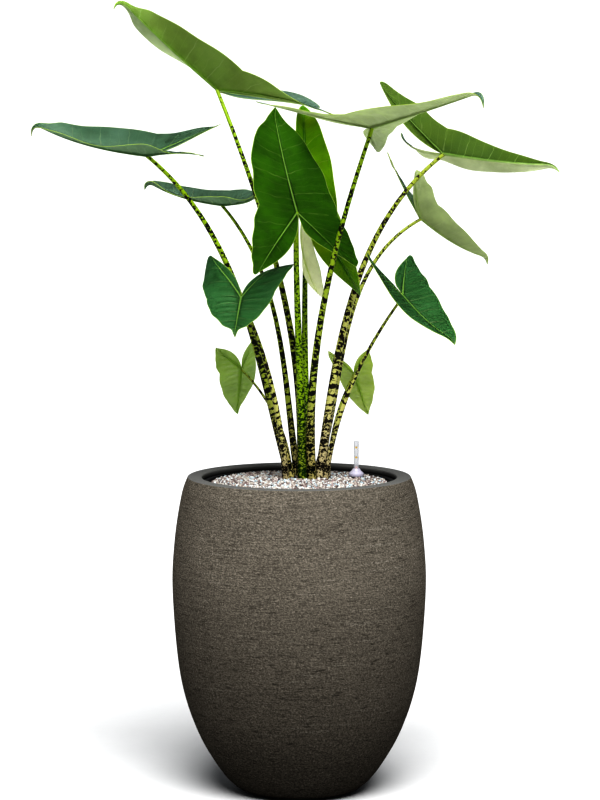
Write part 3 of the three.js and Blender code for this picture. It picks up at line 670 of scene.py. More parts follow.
# %% The twelve leaves
LEAVES = [
    # Highest leaf, pointing up and left, seen from below
    dict(name="1", bands="lime", at=(-0.129, 0.09, 1.115), facing=(200, 39, 28), rib=0.232,
         lobes=(0.195, 0.165), half=0.06, spread=45, fold=(20, 52), curl=(-25, -15), bend=8,
         hook=-100, rise=(28, -34), turn=(5, 85), spin=-60, wave=(0.007, 0.007), waves=1,
         inner=0.15, full=1.4, drip=0.4, foot=(0.002, 0.004), low=(-0.01, 0.039, 0.711),
         high=(-0.058, 0.046, 0.915), stem=(0.007, 0.0028)),
    # Long leaf at the left, upper side showing
    dict(name="2", bands="lime", at=(-0.235, -0.06, 1.017), facing=(170, 6, -15), rib=0.203,
         lobes=(0.145, 0.132), half=0.057, spread=40, fold=(36, 32), curl=(-10, -25), bend=26,
         hook=-120, rise=(14, 36), turn=(-10, 0), spin=15, wave=(0.004, 0.002), waves=1.5,
         inner=0.15, full=1.6, drip=0.3, foot=(-0.013, 0), low=(-0.061, -0.012, 0.688),
         high=(-0.124, -0.028, 0.867), stem=(0.008, 0.003)),
    # Narrow leaf behind it, lower
    dict(name="3", bands="lime", at=(-0.123, 0.135, 0.93), facing=(166, 6, 0), rib=0.141,
         lobes=(0.09, 0.065), half=0.042, spread=28, fold=(20, 36), curl=(-15, -10), bend=27,
         hook=-100, rise=(27, 15), turn=(15, -5), spin=-5, wave=(0.006, -0.002), waves=1,
         inner=0.15, full=1.9, drip=0, foot=(-0.002, 0.02), low=(-0.021, 0.058, 0.65),
         high=(-0.051, 0.097, 0.797), stem=(0.006, 0.0024)),
    # Upright leaf in the middle, facing the front
    dict(name="4", bands="fine", at=(-0.003, -0.08, 0.929), facing=(113, 54, 17), rib=0.19,
         lobes=(0.172, 0.104), half=0.077, spread=42, fold=(-8, 8), curl=(18, -5), bend=8,
         hook=20, rise=(-16, 22), turn=(0, -12), spin=0, wave=(0.002, 0.001), waves=4, inner=0.3,
         full=2.1, drip=0.2, foot=(0.005, -0.013), low=(0.002, -0.035, 0.646),
         high=(-0.003, -0.058, 0.787), stem=(0.0075, 0.004)),
    # Upright leaf behind it, its left half folded over
    dict(name="5", bands="fine", at=(0.011, 0.052, 0.926), facing=(78, 95, 15), rib=0.172,
         lobes=(0.145, 0.175), half=0.057, spread=38, fold=(60, 20), curl=(50, 25), bend=-36,
         hook=-10, rise=(-10, 14), turn=(0, 0), spin=15, wave=(0.002, 0.004), waves=2, inner=0.5,
         full=2.1, drip=0, foot=(0.017, 0.002), low=(0.01, 0.022, 0.643),
         high=(0.009, 0.054, 0.784), stem=(0.007, 0.0035)),
    # Broad leaf at the upper right, seen from below
    dict(name="6", bands="lime", at=(0.11, -0.16, 1.063), facing=(-42, 14, 2), rib=0.238,
         lobes=(0.12, 0.178), half=0.06, spread=48, fold=(10, 32), curl=(-20, -18), bend=2,
         hook=-100, rise=(-30, 6), turn=(-5, 30), spin=-15, wave=(-0.002, 0.002), waves=1.5,
         inner=0.2, full=1.3, drip=0, foot=(0.0205, -0.0145), low=(0.025, -0.063, 0.697),
         high=(0.059, -0.112, 0.883), stem=(0.0075, 0.003)),
    # Right-hand leaf, its tip turned so that the lower half hangs
    dict(name="7", bands="tan", at=(0.228, 0.06, 1.015), facing=(-8, -9, -37), rib=0.192,
         lobes=(0.125, 0.16), half=0.042, spread=35, fold=(22, 65), curl=(-10, 12), bend=12,
         hook=-60, rise=(35, 10), turn=(35, -10), spin=55, wave=(0.002, 0.002), waves=2,
         inner=0.3, full=1.3, drip=0, foot=(0.0325, 0.002), low=(0.06, 0.021, 0.688),
         high=(0.115, 0.041, 0.868), stem=(0.008, 0.003)),
    # Pale leaf below it, seen from below
    dict(name="8", bands="tan", at=(0.196, 0.13, 0.909), facing=(24, -38, -4), rib=0.148,
         lobes=(0.146, 0.091), half=0.04, spread=38, fold=(54, 20), curl=(-22, 42), bend=25,
         hook=-62, rise=(45, 7), turn=(12, -13), spin=0, wave=(0.001, 0.001), waves=2.5,
         inner=0.15, full=2, drip=0, foot=(0.024, 0.019), low=(0.06, 0.046, 0.65),
         high=(0.099, 0.093, 0.798), stem=(0.006, 0.0024)),
    # Dark leaf at the right, hanging with its tip down
    dict(name="9", bands="tan", at=(0.161, -0.09, 0.801), facing=(-46, -38, -3), rib=0.133,
         lobes=(0.093, 0.08), half=0.052, spread=38, fold=(19, 13), curl=(-8, 10), bend=22,
         hook=-38, rise=(29, 16), turn=(-11, 11), spin=-15, wave=(0.003, -0.002), waves=1,
         inner=0.3, full=1.6, drip=0, foot=(0.042, -0.011), low=(0.065, -0.037, 0.609),
         high=(0.106, -0.064, 0.708), stem=(0.0048, 0.002)),
    # Dark leaf at the left, facing the front
    dict(name="10", bands="tan", at=(-0.09, -0.112, 0.799), facing=(-98, -38, 7), rib=0.088,
         lobes=(0.104, 0.13), half=0.056, spread=32, fold=(12, 25), curl=(-12, -45), bend=0,
         hook=-56, rise=(-65, 15), turn=(8, -14), spin=4, wave=(0.001, -0.002), waves=1.3,
         inner=0.2, full=1.3, drip=0.5, foot=(-0.021, -0.015), low=(-0.033, -0.045, 0.604),
         high=(-0.055, -0.075, 0.702), stem=(0.0055, 0.0026)),
    # Small low leaf at the left, hanging
    dict(name="11", bands="tan", at=(-0.093, 0.06, 0.672), facing=(98, -62, -39), rib=0.09,
         lobes=(0.088, 0.05), half=0.039, spread=44, fold=(25, 12), curl=(-20, -5), bend=8,
         hook=-38, rise=(22, 17), turn=(-22, 5), spin=-22, wave=(0.001, -0.003), waves=1,
         inner=0.3, full=1.5, drip=0.1, foot=(-0.015, 0.018), low=(-0.024, 0.032, 0.563),
         high=(-0.052, 0.046, 0.621), stem=(0.0035, 0.0016)),
    # Small low leaf at the right, hanging
    dict(name="12", bands="tan", at=(0.088, 0.088, 0.662), facing=(63, -54, -10), rib=0.09,
         lobes=(0.046, 0.07), half=0.031, spread=37, fold=(9, 7), curl=(14, -24), bend=-2,
         hook=8, rise=(-7, 0), turn=(2, -14), spin=28, wave=(0.001, -0.001), waves=1.5,
         inner=0.2, full=1.6, drip=0.1, foot=(0.046, 0.008), low=(0.051, 0.031, 0.555),
         high=(0.064, 0.06, 0.607), stem=(0.0034, 0.0016)),
]

# How finely blades and stems are divided
BLADE_ROWS, BLADE_COLUMNS, STRIP_COLUMNS, GRADING = 56, 18, 4, 1.4
STEM_SIDES, STEM_RINGS = 20, 96
# A blade's outline: the start of the hook and of the drawn-in tip, the ripple, the lobe's end
HOOK_START = 0.84
DRIP_START, DRIP_LENGTH = 0.66, 0.18
RIPPLE, RIPPLE_RATE = 0.02, 19
LOBE_POWER, LOBE_BLUNT = 2.2, 0.6
NOTCH_POWER, NOTCH_LIMIT = 0.8, 0.85
# Puffs on each half: how many, how they crowd, and how far veins sweep in degrees
TIP_VEINS, LOBE_VEINS, VEIN_CROWDING = 8, 5, 0.9
VEIN_SWEEP, LOBE_SWEEP = 42, 38
# Heights, how far the rib's ridge and groove reach, and how the deep rib fades to its ends
BLADE_MARGIN = 0.0006
PUFF, STRIP_PUFF = 0.0009, 0.3
NOTCH_WAVE, LEFT_PHASE = 0.4, 1.9
RIDGE, RIDGE_REACH = 0.0005, 0.0014
GROOVE, GROOVE_REACH = 0.0006, 0.004
RIB_REACH, RIB_NARROWING, RIB_FADE = 0.0026, 0.0018, 0.8
print("leaves:", len(LEAVES))

# %% [markdown]
# A blade could be pushed into shape by hand, but it has to follow the solid that carries it. So
# each half starts as a flat primitive grid, and one function carries every point of the grid to
# its place: first on the flat arrow outline, then folded up at the rib, curled, rippled at the
# margin and bent along the rib. Like a living leaf between its veins, the blade is puffed up by
# a fraction of a millimetre, which gives it soft broken highlights.


# %% The shape of a blade
def eased(share):
    """A share from 0 to 1 that starts and ends gently."""
    t = np.clip(share, 0, 1)
    return t * t * (3 - 2 * t)


def bent_line(total, hook, length):
    """Distance ahead, height and slope along a rib that bends and hooks down at its end."""
    steps = 64
    s = np.linspace(0, 1, steps + 1)
    late = eased((s - HOOK_START) / (1 - HOOK_START))
    slope = np.radians(total * s ** 1.5 + hook * late)
    middle = (slope[1:] + slope[:-1]) / 2
    ahead = np.concatenate([[0], np.cumsum(np.cos(middle))]) * length / steps
    height = np.concatenate([[0], np.cumsum(np.sin(middle))]) * length / steps
    return lambda t: (np.interp(t, s, ahead), np.interp(t, s, height), np.interp(t, s, slope))


def vein_phase(v, side):
    """Counts the puffs: a whole number lies between two. Left and right alternate."""
    count = np.where(v >= 0, TIP_VEINS, LOBE_VEINS)
    return count * np.abs(v) ** VEIN_CROWDING + (0.5 if side < 0 else 0.0)


def flat_blade(leaf, side, u, v, strip):
    """Place on the flat outline, and the share of the half width there."""
    k = 0 if side < 0 else 1
    a = np.abs(v)
    spread = math.radians(leaf["spread"])
    lobe = leaf["lobes"][k]
    start_x = np.where(v >= 0, 0, lobe * a * math.sin(spread))
    start_y = np.where(v >= 0, leaf["rib"] * v, -lobe * a * math.cos(spread))
    if strip:
        wanted = leaf["inner"] * leaf["half"] * np.sin(math.pi * a ** NOTCH_POWER)
        width = np.minimum(wanted, NOTCH_LIMIT * lobe * a * math.tan(spread))
        x = start_x - u * width * math.cos(spread)
        return x, start_y - u * width * math.sin(spread), width
    drawn_in = 1 - leaf["drip"] * eased((a - DRIP_START) / DRIP_LENGTH)
    to_tip = (1 - a ** leaf["full"]) * drawn_in
    to_lobe = (1 - a ** LOBE_POWER) ** LOBE_BLUNT
    ripple = 1 + RIPPLE * np.sin(RIPPLE_RATE * v + side) * np.sin(math.pi * a)
    width = leaf["half"] * ripple * np.where(v >= 0, to_tip, to_lobe)
    sweep = np.radians(np.where(v >= 0, VEIN_SWEEP, LOBE_SWEEP) * v)
    return start_x + u * width * np.cos(sweep), start_y + u * width * np.sin(sweep), width


def raised(leaf, side, u, v, reach, up, strip):
    """Height with the waves of the margin, the puffs between veins and the rib's ridge."""
    wave = leaf["wave"][0 if side < 0 else 1]
    share = NOTCH_WAVE * u * np.sqrt(np.abs(v)) if strip else u
    phase = 0 if side > 0 else LEFT_PHASE
    fading = 1 - v ** 4
    up = up + wave * share ** 2 * np.sin(math.tau * leaf["waves"] * v + phase) * fading
    puff = 0.5 - 0.5 * np.cos(math.tau * vein_phase(v, side))
    hump = np.sin(math.pi * np.clip(u, 0, 1) ** 0.7) * fading
    up = up + PUFF * puff * hump * (STRIP_PUFF if strip else 1.0)
    ridge = RIDGE * np.exp(-(reach / RIDGE_REACH) ** 2)
    return up + ridge - GROOVE * np.exp(-(reach / GROOVE_REACH) ** 2)


def rotated(x, z, angle):
    return x * np.cos(angle) - z * np.sin(angle), x * np.sin(angle) + z * np.cos(angle)


def placed_blade(leaf, side, u, v, strip):
    """Where the points of one grid lie, in the leaf's own space."""
    k = 0 if side < 0 else 1
    x, y, width = flat_blade(leaf, side, u, v, strip)
    reach = u * width
    fold = math.radians(leaf["fold"][k])
    curve = math.radians(leaf["curl"][k]) / leaf["half"]
    angle = fold + curve * x
    across = (np.sin(angle) - math.sin(fold)) / curve
    up = raised(leaf, side, u, v, reach, (math.cos(fold) - np.cos(angle)) / curve, strip)
    tipward = y >= 0
    part = np.where(tipward, y / leaf["rib"], -y / leaf["lobes"][k])
    tip = bent_line(leaf["bend"], leaf["hook"], leaf["rib"])(part)
    lobe = bent_line(leaf["rise"][k], 0, leaf["lobes"][k])(part)
    ahead, lift, slope = (np.where(tipward, one, two) for one, two in zip(tip, lobe))
    back = np.where(tipward, 1, -1)
    turn = np.where(tipward, 0, math.radians(leaf["turn"][k]) * part)
    spin = np.where(tipward, math.radians(leaf["spin"]) * part, 0)
    x, z = rotated(across, up, turn)
    x, z = rotated(side * x, z, spin)
    slope = back * slope
    place = (x, back * ahead - z * np.sin(slope), lift + z * np.cos(slope))
    return np.stack(place, -1), reach, width


def leaf_matrix(leaf):
    """X across the blade, Y along its rib and Z up from its upper side."""
    azimuth, slope, roll = (math.radians(part) for part in leaf["facing"])
    east, north = math.cos(azimuth), math.sin(azimuth)
    ahead = Vector((math.cos(slope) * east, math.cos(slope) * north, math.sin(slope)))
    level = Vector((-math.sin(slope) * east, -math.sin(slope) * north, math.cos(slope)))
    up = level * math.cos(roll) + ahead.cross(level) * math.sin(roll)
    turn = Matrix((ahead.cross(up), ahead, up)).transposed().to_4x4()
    return Matrix.Translation(leaf["at"]) @ turn


# %% One grid of a blade
def write_maps(mesh, maps):
    corner = np.empty(len(mesh.loops), dtype=int)
    mesh.loops.foreach_get("vertex_index", corner)
    mesh.uv_layers[0].name = "place"
    for name, pair in maps.items():
        layer_map = mesh.uv_layers.get(name) or mesh.uv_layers.new(name=name)
        values = np.stack(np.broadcast_arrays(*pair), -1)[corner]
        layer_map.data.foreach_set("uv", values.ravel())


def blade_grid(leaf, side, strip):
    """A primitive grid, its points carried to their places, with three maps for the finish."""
    columns = STRIP_COLUMNS if strip else BLADE_COLUMNS
    rows = BLADE_ROWS if strip else 2 * BLADE_ROWS
    bpy.ops.mesh.primitive_grid_add(x_subdivisions=columns, y_subdivisions=rows, size=1)
    piece = bpy.context.object
    mesh = piece.data
    flat = points_of(mesh)
    u = (flat[:, 0] + 0.5) ** (1.0 if strip else GRADING)
    t = flat[:, 1] - 0.5 if strip else 2 * flat[:, 1]
    v = np.sign(t) * (1 - (1 - np.abs(t)) ** GRADING)
    local, reach, width = placed_blade(leaf, side, u, v, strip)
    world = np.array(leaf_matrix(leaf))
    mesh.vertices.foreach_set("co", (local @ world[:3, :3].T + world[:3, 3]).ravel())
    length = np.where(v >= 0, leaf["rib"] / TIP_VEINS, leaf["lobes"][0] / LOBE_VEINS)
    write_maps(mesh, {
        "place": (side * u, v),
        "veins": (vein_phase(v, side), length),
        "reach": (reach, width - reach),
    })
    a = np.abs(v)
    rib = np.exp(-(reach / (RIB_REACH - RIB_NARROWING * a)) ** 2) * (1 - RIB_FADE * a)
    depth = leaf["stem"][1]
    group = piece.vertex_groups.new(name="rib")
    for index, share in enumerate((BLADE_MARGIN + depth * rib) / (BLADE_MARGIN + depth)):
        group.add([index], float(share), "REPLACE")
    if (side < 0) != strip:
        edit(piece)
        bpy.ops.mesh.flip_normals()
        leave()
    return piece


# %% [markdown]
# The four grids of a blade are joined and their shared edges merged. A Solidify modifier then
# gives the sheet its thickness: thin at the margin, and along the rib and the two lobe veins as
# deep as the stem's end, so that they stand out of the underside as they do on the plant. It also
# gives the underside and the margin their own materials.


# %% A whole blade
def blade(leaf):
    grids = [blade_grid(leaf, side, strip) for side in (-1, 1) for strip in (False, True)]
    piece = join(f"blade_{leaf['name']}", grids)
    edit(piece)
    bpy.ops.mesh.remove_doubles(threshold=0.00002)
    bpy.ops.mesh.dissolve_degenerate(threshold=0.00001)
    leave()
    for finish in blade_finishes(leaf):
        piece.data.materials.append(finish)
    modify(
        piece, "SOLIDIFY", thickness=BLADE_MARGIN + leaf["stem"][1], offset=-1,
        vertex_group="rib", thickness_vertex_group=0.0, material_offset=1, material_offset_rim=2,
    )
    smooth(piece, 60)
    return piece


# %% [markdown]
# The upper side is deep green with a waxy shine, the underside paler and duller. Both have the
# same veins: a broad rib, thin side veins that run to the margin, two fainter ones between each
# pair and a fine net. They are drawn from the maps, so that they follow the bent blade. Leaves
# differ, as on any plant: older ones are bluish, the newest are a clear glossy green. On the two
# long leaves at the left the bluish upper side is partly a painted sheen. Light that falls on one
# side also glows through the other, so subsurface scattering reaches further than the blade is
# thick.

# %% Blade finishes
# For each leaf: the upper side, then the left and right half of the underside where they differ.
# Where they differ, one half is painted paler and the other darker, as painted light and shade.
GREENS = {
    "1": ((0.035, 0.07, 0.045), (0.09, 0.155, 0.022), (0.24, 0.3, 0.15)),
    # The bluish upper sides of leaves 2 and 3 are partly their own tone, partly a painted sheen.
    "2": ((0.022, 0.047, 0.028), (0.05, 0.1, 0.045)),
    "3": ((0.024, 0.047, 0.03), (0.05, 0.1, 0.045)),
    "4": ((0.011, 0.039, 0.001), (0.3, 0.38, 0.16)),
    # Leaf 5's underside is partly its own pale green, partly painted light shining through it.
    "5": ((0.032, 0.115, 0.001), (0.72, 0.82, 0.36)),
    "6": ((0.035, 0.07, 0.05), (0.205, 0.25, 0.12), (0.205, 0.25, 0.115)),
    "7": ((0.035, 0.07, 0.05), (0.44, 0.51, 0.27), (0.027, 0.053, 0.006)),
    "8": ((0.04, 0.08, 0.04), (0.25, 0.305, 0.128)),
    "9": ((0.012, 0.045, 0.013), (0.14, 0.21, 0.05)),
    "10": ((0.013, 0.05, 0.015), (0.14, 0.21, 0.05)),
    "11": ((0.05, 0.11, 0.02), (0.245, 0.37, 0.066)),
    "12": ((0.06, 0.125, 0.022), (0.34, 0.465, 0.08)),
}
VEIN_WIDTH = 0.0006
# Side veins drawn for each puff
VEIN_SHARE = 0.6
VEIN_GREEN = (0.34, 0.46, 0.16)
RIB_GREEN = (0.24, 0.4, 0.09)
EDGE_GREEN = (0.22, 0.32, 0.05)
WAXY_TINT = (0.75, 1.0, 0.72)
LIGHT_REACH = 0.0045


def veins_of(finish):
    """Masks for the rib, the side veins, the fainter veins between and the margin."""
    u, v = finish.map("place")
    phase, spacing = finish.map("veins")
    reach, margin = finish.map("reach")
    out = u.size().within()
    along = v.size().within()
    stray = finish.noise(34.0, 2.0)
    phase = (phase + (stray - 0.5) * 0.5) * VEIN_SHARE
    spacing = spacing / VEIN_SHARE
    near = ((phase + 0.5).math("FRACT") - 0.5).size() * spacing
    half = VEIN_WIDTH * (1.15 - 0.8 * out)
    side = (near / half).fall(0.5, 1.8) * stray.rise(0.25, 0.55)
    thirds = ((phase * 3.0 + 0.5).math("FRACT") - 0.5).size() * spacing / 3.0
    minor = (thirds / (half * 0.7)).fall(0.4, 1.6) * 0.35
    edge = margin.fall(0.0004, 0.0011)
    rib = (reach / (0.0018 - 0.0014 * along)).fall(0.55, 1.15)
    return u, rib, side.math("MAXIMUM", minor), edge, out


def blade_finish(name, left, right, vein_share, rib_share, shine, gloss, drift):
    finish = Finish(name)
    u, rib, side, edge, out = veins_of(finish)
    cloud = finish.noise(22.0, 4.0, 0.6)
    net = finish.cells(420.0)
    # Painted light and shade: the underside's two halves may take a paler and a darker green.
    mean = finish.blend(left, right, u.rise(-0.02, 0.02))
    tone = (1.0 - 0.5 * drift + drift * cloud.rise(0.3, 0.7)) * (0.94 + 0.12 * out)
    pale = finish.blend(mean, VEIN_GREEN, 0.45)
    veined = side * vein_share + net.fall(0.0, 0.1) * 0.06
    colour = finish.blend(finish.scaled(mean, tone), pale, veined)
    colour = finish.blend(colour, RIB_GREEN, rib * rib_share)
    colour = finish.blend(colour, EDGE_GREEN, edge * 0.6)
    relief = (1.0 - side) * 0.6 + net.rise(0.0, 0.25) * 0.1 + cloud * 0.3 + rib * 0.8
    return finish.done(
        base_color=colour, roughness=shine + 0.12 * cloud, normal=finish.bump(relief, 0.0006, 0.6),
        specular_ior_level=gloss, specular_tint=WAXY_TINT, subsurface_weight=1.0,
        subsurface_radius=(1.0, 1.0, 1.0), subsurface_scale=LIGHT_REACH,
    )


# %% Margins, and the blades in their finishes
MARGIN_DARK = (0.2, 0.29, 0.03)
MARGIN_LIGHT = (0.36, 0.44, 0.1)
CLEAR_GREEN = ("4", "5")


def blade_finishes(leaf):
    name = leaf["name"]
    upper, left, *other = GREENS[name]
    right = other[0] if other else left
    shine, gloss = (0.34, 0.16) if name in CLEAR_GREEN else (0.42, 0.2)
    return (
        blade_finish(
            f"upper_{name}", upper, upper,
            vein_share=0.2, rib_share=0.55, shine=shine, gloss=gloss, drift=0.5,
        ),
        blade_finish(
            f"under_{name}", left, right,
            vein_share=0.42, rib_share=0.3, shine=0.55, gloss=0.12, drift=0.32,
        ),
        margin,
    )


margin = mottled("blade_margin", MARGIN_DARK, MARGIN_LIGHT, 120.0, roughness=0.45)
for leaf in LEAVES:
    dress(blade(leaf), f"leaf_blade_{leaf['name']}")

# %% [markdown]
# ## Stems
# Each stem is a cylinder cut into many rings along its length. The rings are then carried along a
# smooth curve from the granules to the underside of the blade, thick at the foot and slender at
# the top. Every point remembers how far along the stem it is, for the bands.


# %% A stem along its route
FOOT_DROP = 0.003
SINK = 0.0005
STEM_AHEAD = 0.002
BURIED = 0.041
BURIED_RINGS = 3
STATIONS = 241
TAPER = 1.3
BAND_RADIUS = 0.006


def stem_route(leaf, t):
    """Points of the curve through the foot, two points on the way and the blade."""
    matrix = leaf_matrix(leaf)
    normal = matrix.to_3x3() @ Vector((0, 0, 1))
    rising = (Vector(leaf["at"]) - Vector(leaf["high"])).normalized()
    drop = SINK + 0.5 * leaf["stem"][1] * rising.cross(normal).length
    knots = np.array([
        (*leaf["foot"], PLANTER_HEIGHT - FOOT_DROP), leaf["low"], leaf["high"],
        matrix @ Vector((0, STEM_AHEAD, -drop)),
    ])
    weights = np.stack([
        -4.5 * (t - 1 / 3) * (t - 2 / 3) * (t - 1),
        13.5 * t * (t - 2 / 3) * (t - 1),
        -13.5 * t * (t - 1 / 3) * (t - 1),
        4.5 * t * (t - 1 / 3) * (t - 2 / 3),
    ], -1)
    return weights @ knots


def frames(line):
    """Directions along a line and across it, the latter carried on without a twist."""
    runs = np.gradient(line, axis=0)
    runs /= np.linalg.norm(runs, axis=1)[:, None]
    across = [np.array((1.0, 0, 0))]
    for run in runs:
        side = across[-1] - run * (across[-1] @ run)
        across.append(side / np.linalg.norm(side))
    return runs, np.array(across[1:])


# %% A stem
def ringed_cylinder(name):
    """A cylinder of height 1, its long edges cut into rings."""
    bpy.ops.mesh.primitive_cylinder_add(vertices=STEM_SIDES, radius=1, depth=1)
    piece = bpy.context.object
    piece.name = piece.data.name = name
    edit(piece, "DESELECT")
    bpy.ops.mesh.select_mode(type="EDGE")
    leave()
    for edge in piece.data.edges:
        low, high = (piece.data.vertices[i].co.z for i in edge.vertices)
        edge.select = abs(high - low) > 0.5
    bpy.ops.object.mode_set(mode="EDIT")
    bpy.ops.mesh.subdivide(number_cuts=STEM_RINGS)
    leave()
    return piece


def stem(leaf):
    """Carry the rings along the route. The lowest go straight down into the granules."""
    piece = ringed_cylinder(f"stem_{leaf['name']}")
    mesh = piece.data
    flat = points_of(mesh)
    share = flat[:, 2] + 0.5
    buried = BURIED_RINGS / STEM_RINGS
    sunk = BURIED * np.clip(1 - share / buried, 0, 1)
    t = np.clip((share - buried) / (1 - buried), 0, 1)
    stations = np.linspace(0, 1, STATIONS)
    line = stem_route(leaf, stations)
    runs, across = frames(line)
    steps = np.linalg.norm(np.diff(line, axis=0), axis=1)
    lengths = np.concatenate([[0], np.cumsum(steps)])
    middle, side, run = (
        np.stack([np.interp(t, stations, rows[:, i]) for i in range(3)], -1)
        for rows in (line, across, runs)
    )
    middle[:, 2] -= sunk
    foot_radius, top_radius = leaf["stem"]
    radius = top_radius + (foot_radius - top_radius) * (1 - t) ** TAPER
    angle = np.arctan2(flat[:, 1], flat[:, 0])
    ring = side * np.cos(angle)[:, None] + np.cross(run, side) * np.sin(angle)[:, None]
    mesh.vertices.foreach_set("co", (middle + ring * radius[:, None]).ravel())
    along = np.interp(t, stations, lengths) - sunk
    band = np.stack([BAND_RADIUS * np.cos(angle), BAND_RADIUS * np.sin(angle), along], -1)
    bands = mesh.attributes.new("band_place", "FLOAT_VECTOR", "POINT")
    bands.data.foreach_set("vector", band.ravel())
    mesh.attributes.new("share", "FLOAT", "POINT").data.foreach_set("value", t)
    smooth(piece, 60)
    return piece


# %% [markdown]
# The bands are what the plant is known for. On a yellow-green ground lie black crescents that
# reach part of the way round the stem, a few millimetres high and set irregularly. Towards the
# foot they break up into a dense mottle and the ground turns to straw, and close under the blade
# they fade out. A noise that is stretched round the stem and cut off sharply gives both.


# %% Stem finishes
def banded(name, foot, middle, top, dark, foot_cover, top_cover, scale=1.0):
    finish = Finish(name)
    place = finish.node("Attribute", attribute_name="band_place", out="Vector")
    share = finish.node("Attribute", attribute_name="share", out="Fac")
    wobble = finish.noise(130.0 * scale, 2.0, source=place)
    lift = finish.node("CombineXYZ", {"Z": (wobble - 0.5) * 0.01})
    moved = finish.node("VectorMath", {0: place, 1: lift}, operation="ADD")
    bars = finish.streaks((115 * scale, 115 * scale, 270 * scale), 1.0, 0.4, source=moved)
    mottle = finish.streaks((300, 300, 420), 2.0, source=moved)
    low = share.fall(0.1, 0.45)
    pattern = bars * (1.0 - 0.6 * low) + mottle * (0.6 * low)
    cover = foot_cover * low + top_cover * (1.0 - low) - 0.4 * share.rise(0.8, 0.98)
    cut = 0.66 - 0.32 * cover
    dots = ((pattern - cut) * 26.0 + 0.5).within()
    streak = finish.streaks((420, 420, 25), 3.0, source=place)
    ground = finish.blend(foot, middle, share.rise(0.04, 0.3))
    ground = finish.blend(ground, top, share.rise(0.35, 0.8))
    ground = finish.scaled(ground, 0.75 + 0.5 * streak)
    return finish.done(
        base_color=finish.blend(ground, dark, dots), roughness=0.42 + 0.15 * dots,
        normal=finish.bump(streak * 0.5 - dots * 0.2, 0.0005, 0.4), specular_ior_level=0.2,
    )


STRAW = (0.36, 0.32, 0.13)
TAN = (0.44, 0.38, 0.22)
OLIVE = (0.24, 0.29, 0.04)
LIME = (0.2, 0.31, 0.008)
CREAM = (0.42, 0.42, 0.14)
BLACK = (0.0035, 0.0045, 0.0015)
GREEN_BLACK = (0.008, 0.03, 0.001)
BROWN = (0.012, 0.009, 0.005)
STEM_LOOKS = {
    "lime": banded("banded_lime", STRAW, OLIVE, LIME, BLACK, 0.58, 0.5),
    "fine": banded("banded_fine", OLIVE, LIME, LIME, GREEN_BLACK, 0.6, 0.42, 1.5),
    "tan": banded("banded_tan", TAN, CREAM, OLIVE, BROWN, 0.56, 0.48),
}
feet = []
for leaf in LEAVES:
    piece = stem(leaf)
    dress(piece, f"leaf_stem_{leaf['name']}", STEM_LOOKS[leaf["bands"]])
    feet.append((*leaf["foot"], leaf["stem"][0]))
print("stems:", len(feet))

# %% [markdown]
# Now that the stems stand, the crumbs can be laid round them. Under the crumbs lies the filling
# as one plain body, so that no gap shows through. The filling and the lower crumbs are darkened
# as painted shade.

# %% Lay the granules
FILL_BOTTOM = 0.3061
filling = turned(
    "granule_filling", 96,
    [(0.1214, FILL_BOTTOM), (0.1388, POT_TOP - 0.001), (0.1385, 0.4925), (0.11, 0.4945),
     (0.07, 0.4975), (CENTRE_RADIUS, 0.499)],
)
smooth(filling, 40)
lower = layer("granules_lower", spacing=0.005, sink=0.0032, size=(0.0017, 0.003), feet=feet)
upper = layer("granules_upper", spacing=0.0047, sink=0.0, size=(0.0014, 0.0028), feet=feet)
for model in crumbs:
    bpy.data.objects.remove(model)
# Painted shade: the filling and the lower layer take a darker copy of the crumbs' colours.
shaded_crumb_stone = crumb_stone("crumbs_in_shade", 0.6)
top_stone = crumb_stone("crumbs", 1.0)
for piece, stone in ((filling, shaded_crumb_stone), (lower, shaded_crumb_stone), (upper, top_stone)):
    dress(piece, "granules", stone)

# %% [markdown]
# ## Water gauge
# A clear plastic tube stands beside the stems in a conical collar, with two yellow marks and the
# red tip of the float inside. Tube, collar and float are drawn up from discs like the pots. The
# float rides on its own body, because it rises with the water.

# %% Gauge finishes
MARK_HEIGHTS = (0.5489, 0.533)
TUBE_TONE = (0.56, 0.57, 0.6)
MARK_YELLOW = (0.6, 0.36, 0.02)


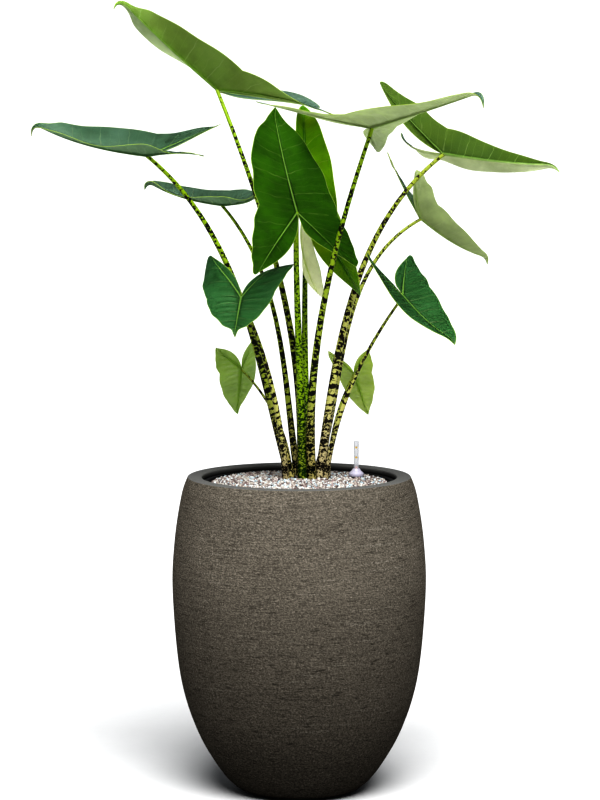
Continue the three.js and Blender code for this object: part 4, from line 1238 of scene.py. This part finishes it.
def clear_plastic():
    finish = Finish("clear_plastic")
    x, y, z = finish.split(finish.place())
    high, low = ((z - height).size().fall(0.0009, 0.0013) for height in MARK_HEIGHTS)
    mark = (high + low) * (x - GAUGE_PLACE[0]).size().fall(0.0012, 0.0018)
    scuff = finish.noise(300.0, 3.0)
    return finish.done(
        base_color=finish.blend(TUBE_TONE, MARK_YELLOW, mark.within()),
        roughness=0.2 + 0.1 * scuff, transmission_weight=0.25, ior=1.46,
        alpha=(0.62 + 0.38 * mark).within(), specular_ior_level=0.3,
    )


collar_finish = mottled(
    "collar_plastic", (0.3, 0.28, 0.36), (0.52, 0.5, 0.58), 260.0, 0.0002, roughness=0.25
)
float_finish = mottled(
    "float_plastic", (0.55, 0.05, 0.02), (0.75, 0.12, 0.04), 260.0, 0.0002, roughness=0.35
)
print("gauge finishes:", collar_finish.name, float_finish.name)

# %% Gauge pieces
GAUGE_TOP = 0.559
COLLAR_BOTTOM = 0.503
FLOAT_TOP = 0.518
gauge_tube = turned(
    "gauge_pipe", 32,
    [(0.0029, FILL_BOTTOM), (0.004, FILL_BOTTOM), (0.004, GAUGE_TOP - 0.001),
     (0.0036, GAUGE_TOP - 0.0003), (0.003, GAUGE_TOP)],
    GAUGE_PLACE,
)
gauge_collar = turned(
    "gauge_skirt", 48,
    [(0.0043, COLLAR_BOTTOM), (0.0118, COLLAR_BOTTOM), (0.012, COLLAR_BOTTOM + 0.0004),
     (0.012, COLLAR_BOTTOM + 0.0044), (0.0116, COLLAR_BOTTOM + 0.005),
     (0.0078, COLLAR_BOTTOM + 0.0085), (0.0058, COLLAR_BOTTOM + 0.0115),
     (0.0055, COLLAR_BOTTOM + 0.012), (0.0046, COLLAR_BOTTOM + 0.012)],
    GAUGE_PLACE,
)
gauge_float = turned(
    "gauge_rod", 24,
    [(0.0019, FILL_BOTTOM), (0.0021, FILL_BOTTOM + 0.0004), (0.0021, FLOAT_TOP - 0.0015),
     (0.0019, FLOAT_TOP - 0.0006), (0.0012, FLOAT_TOP - 0.0001), (0.0004, FLOAT_TOP)],
    GAUGE_PLACE,
)
gauges = (
    (gauge_tube, "clear_plastic", "gauge_tube", clear_plastic(), POT_BODY),
    (gauge_collar, "collar_plastic", "gauge_collar", collar_finish, POT_BODY),
    (gauge_float, "float_plastic", "gauge_float", float_finish, FLOAT_BODY),
)
for piece, slot, node, finish, body in gauges:
    smooth(piece, 40)
    dress(piece, node, finish, body)
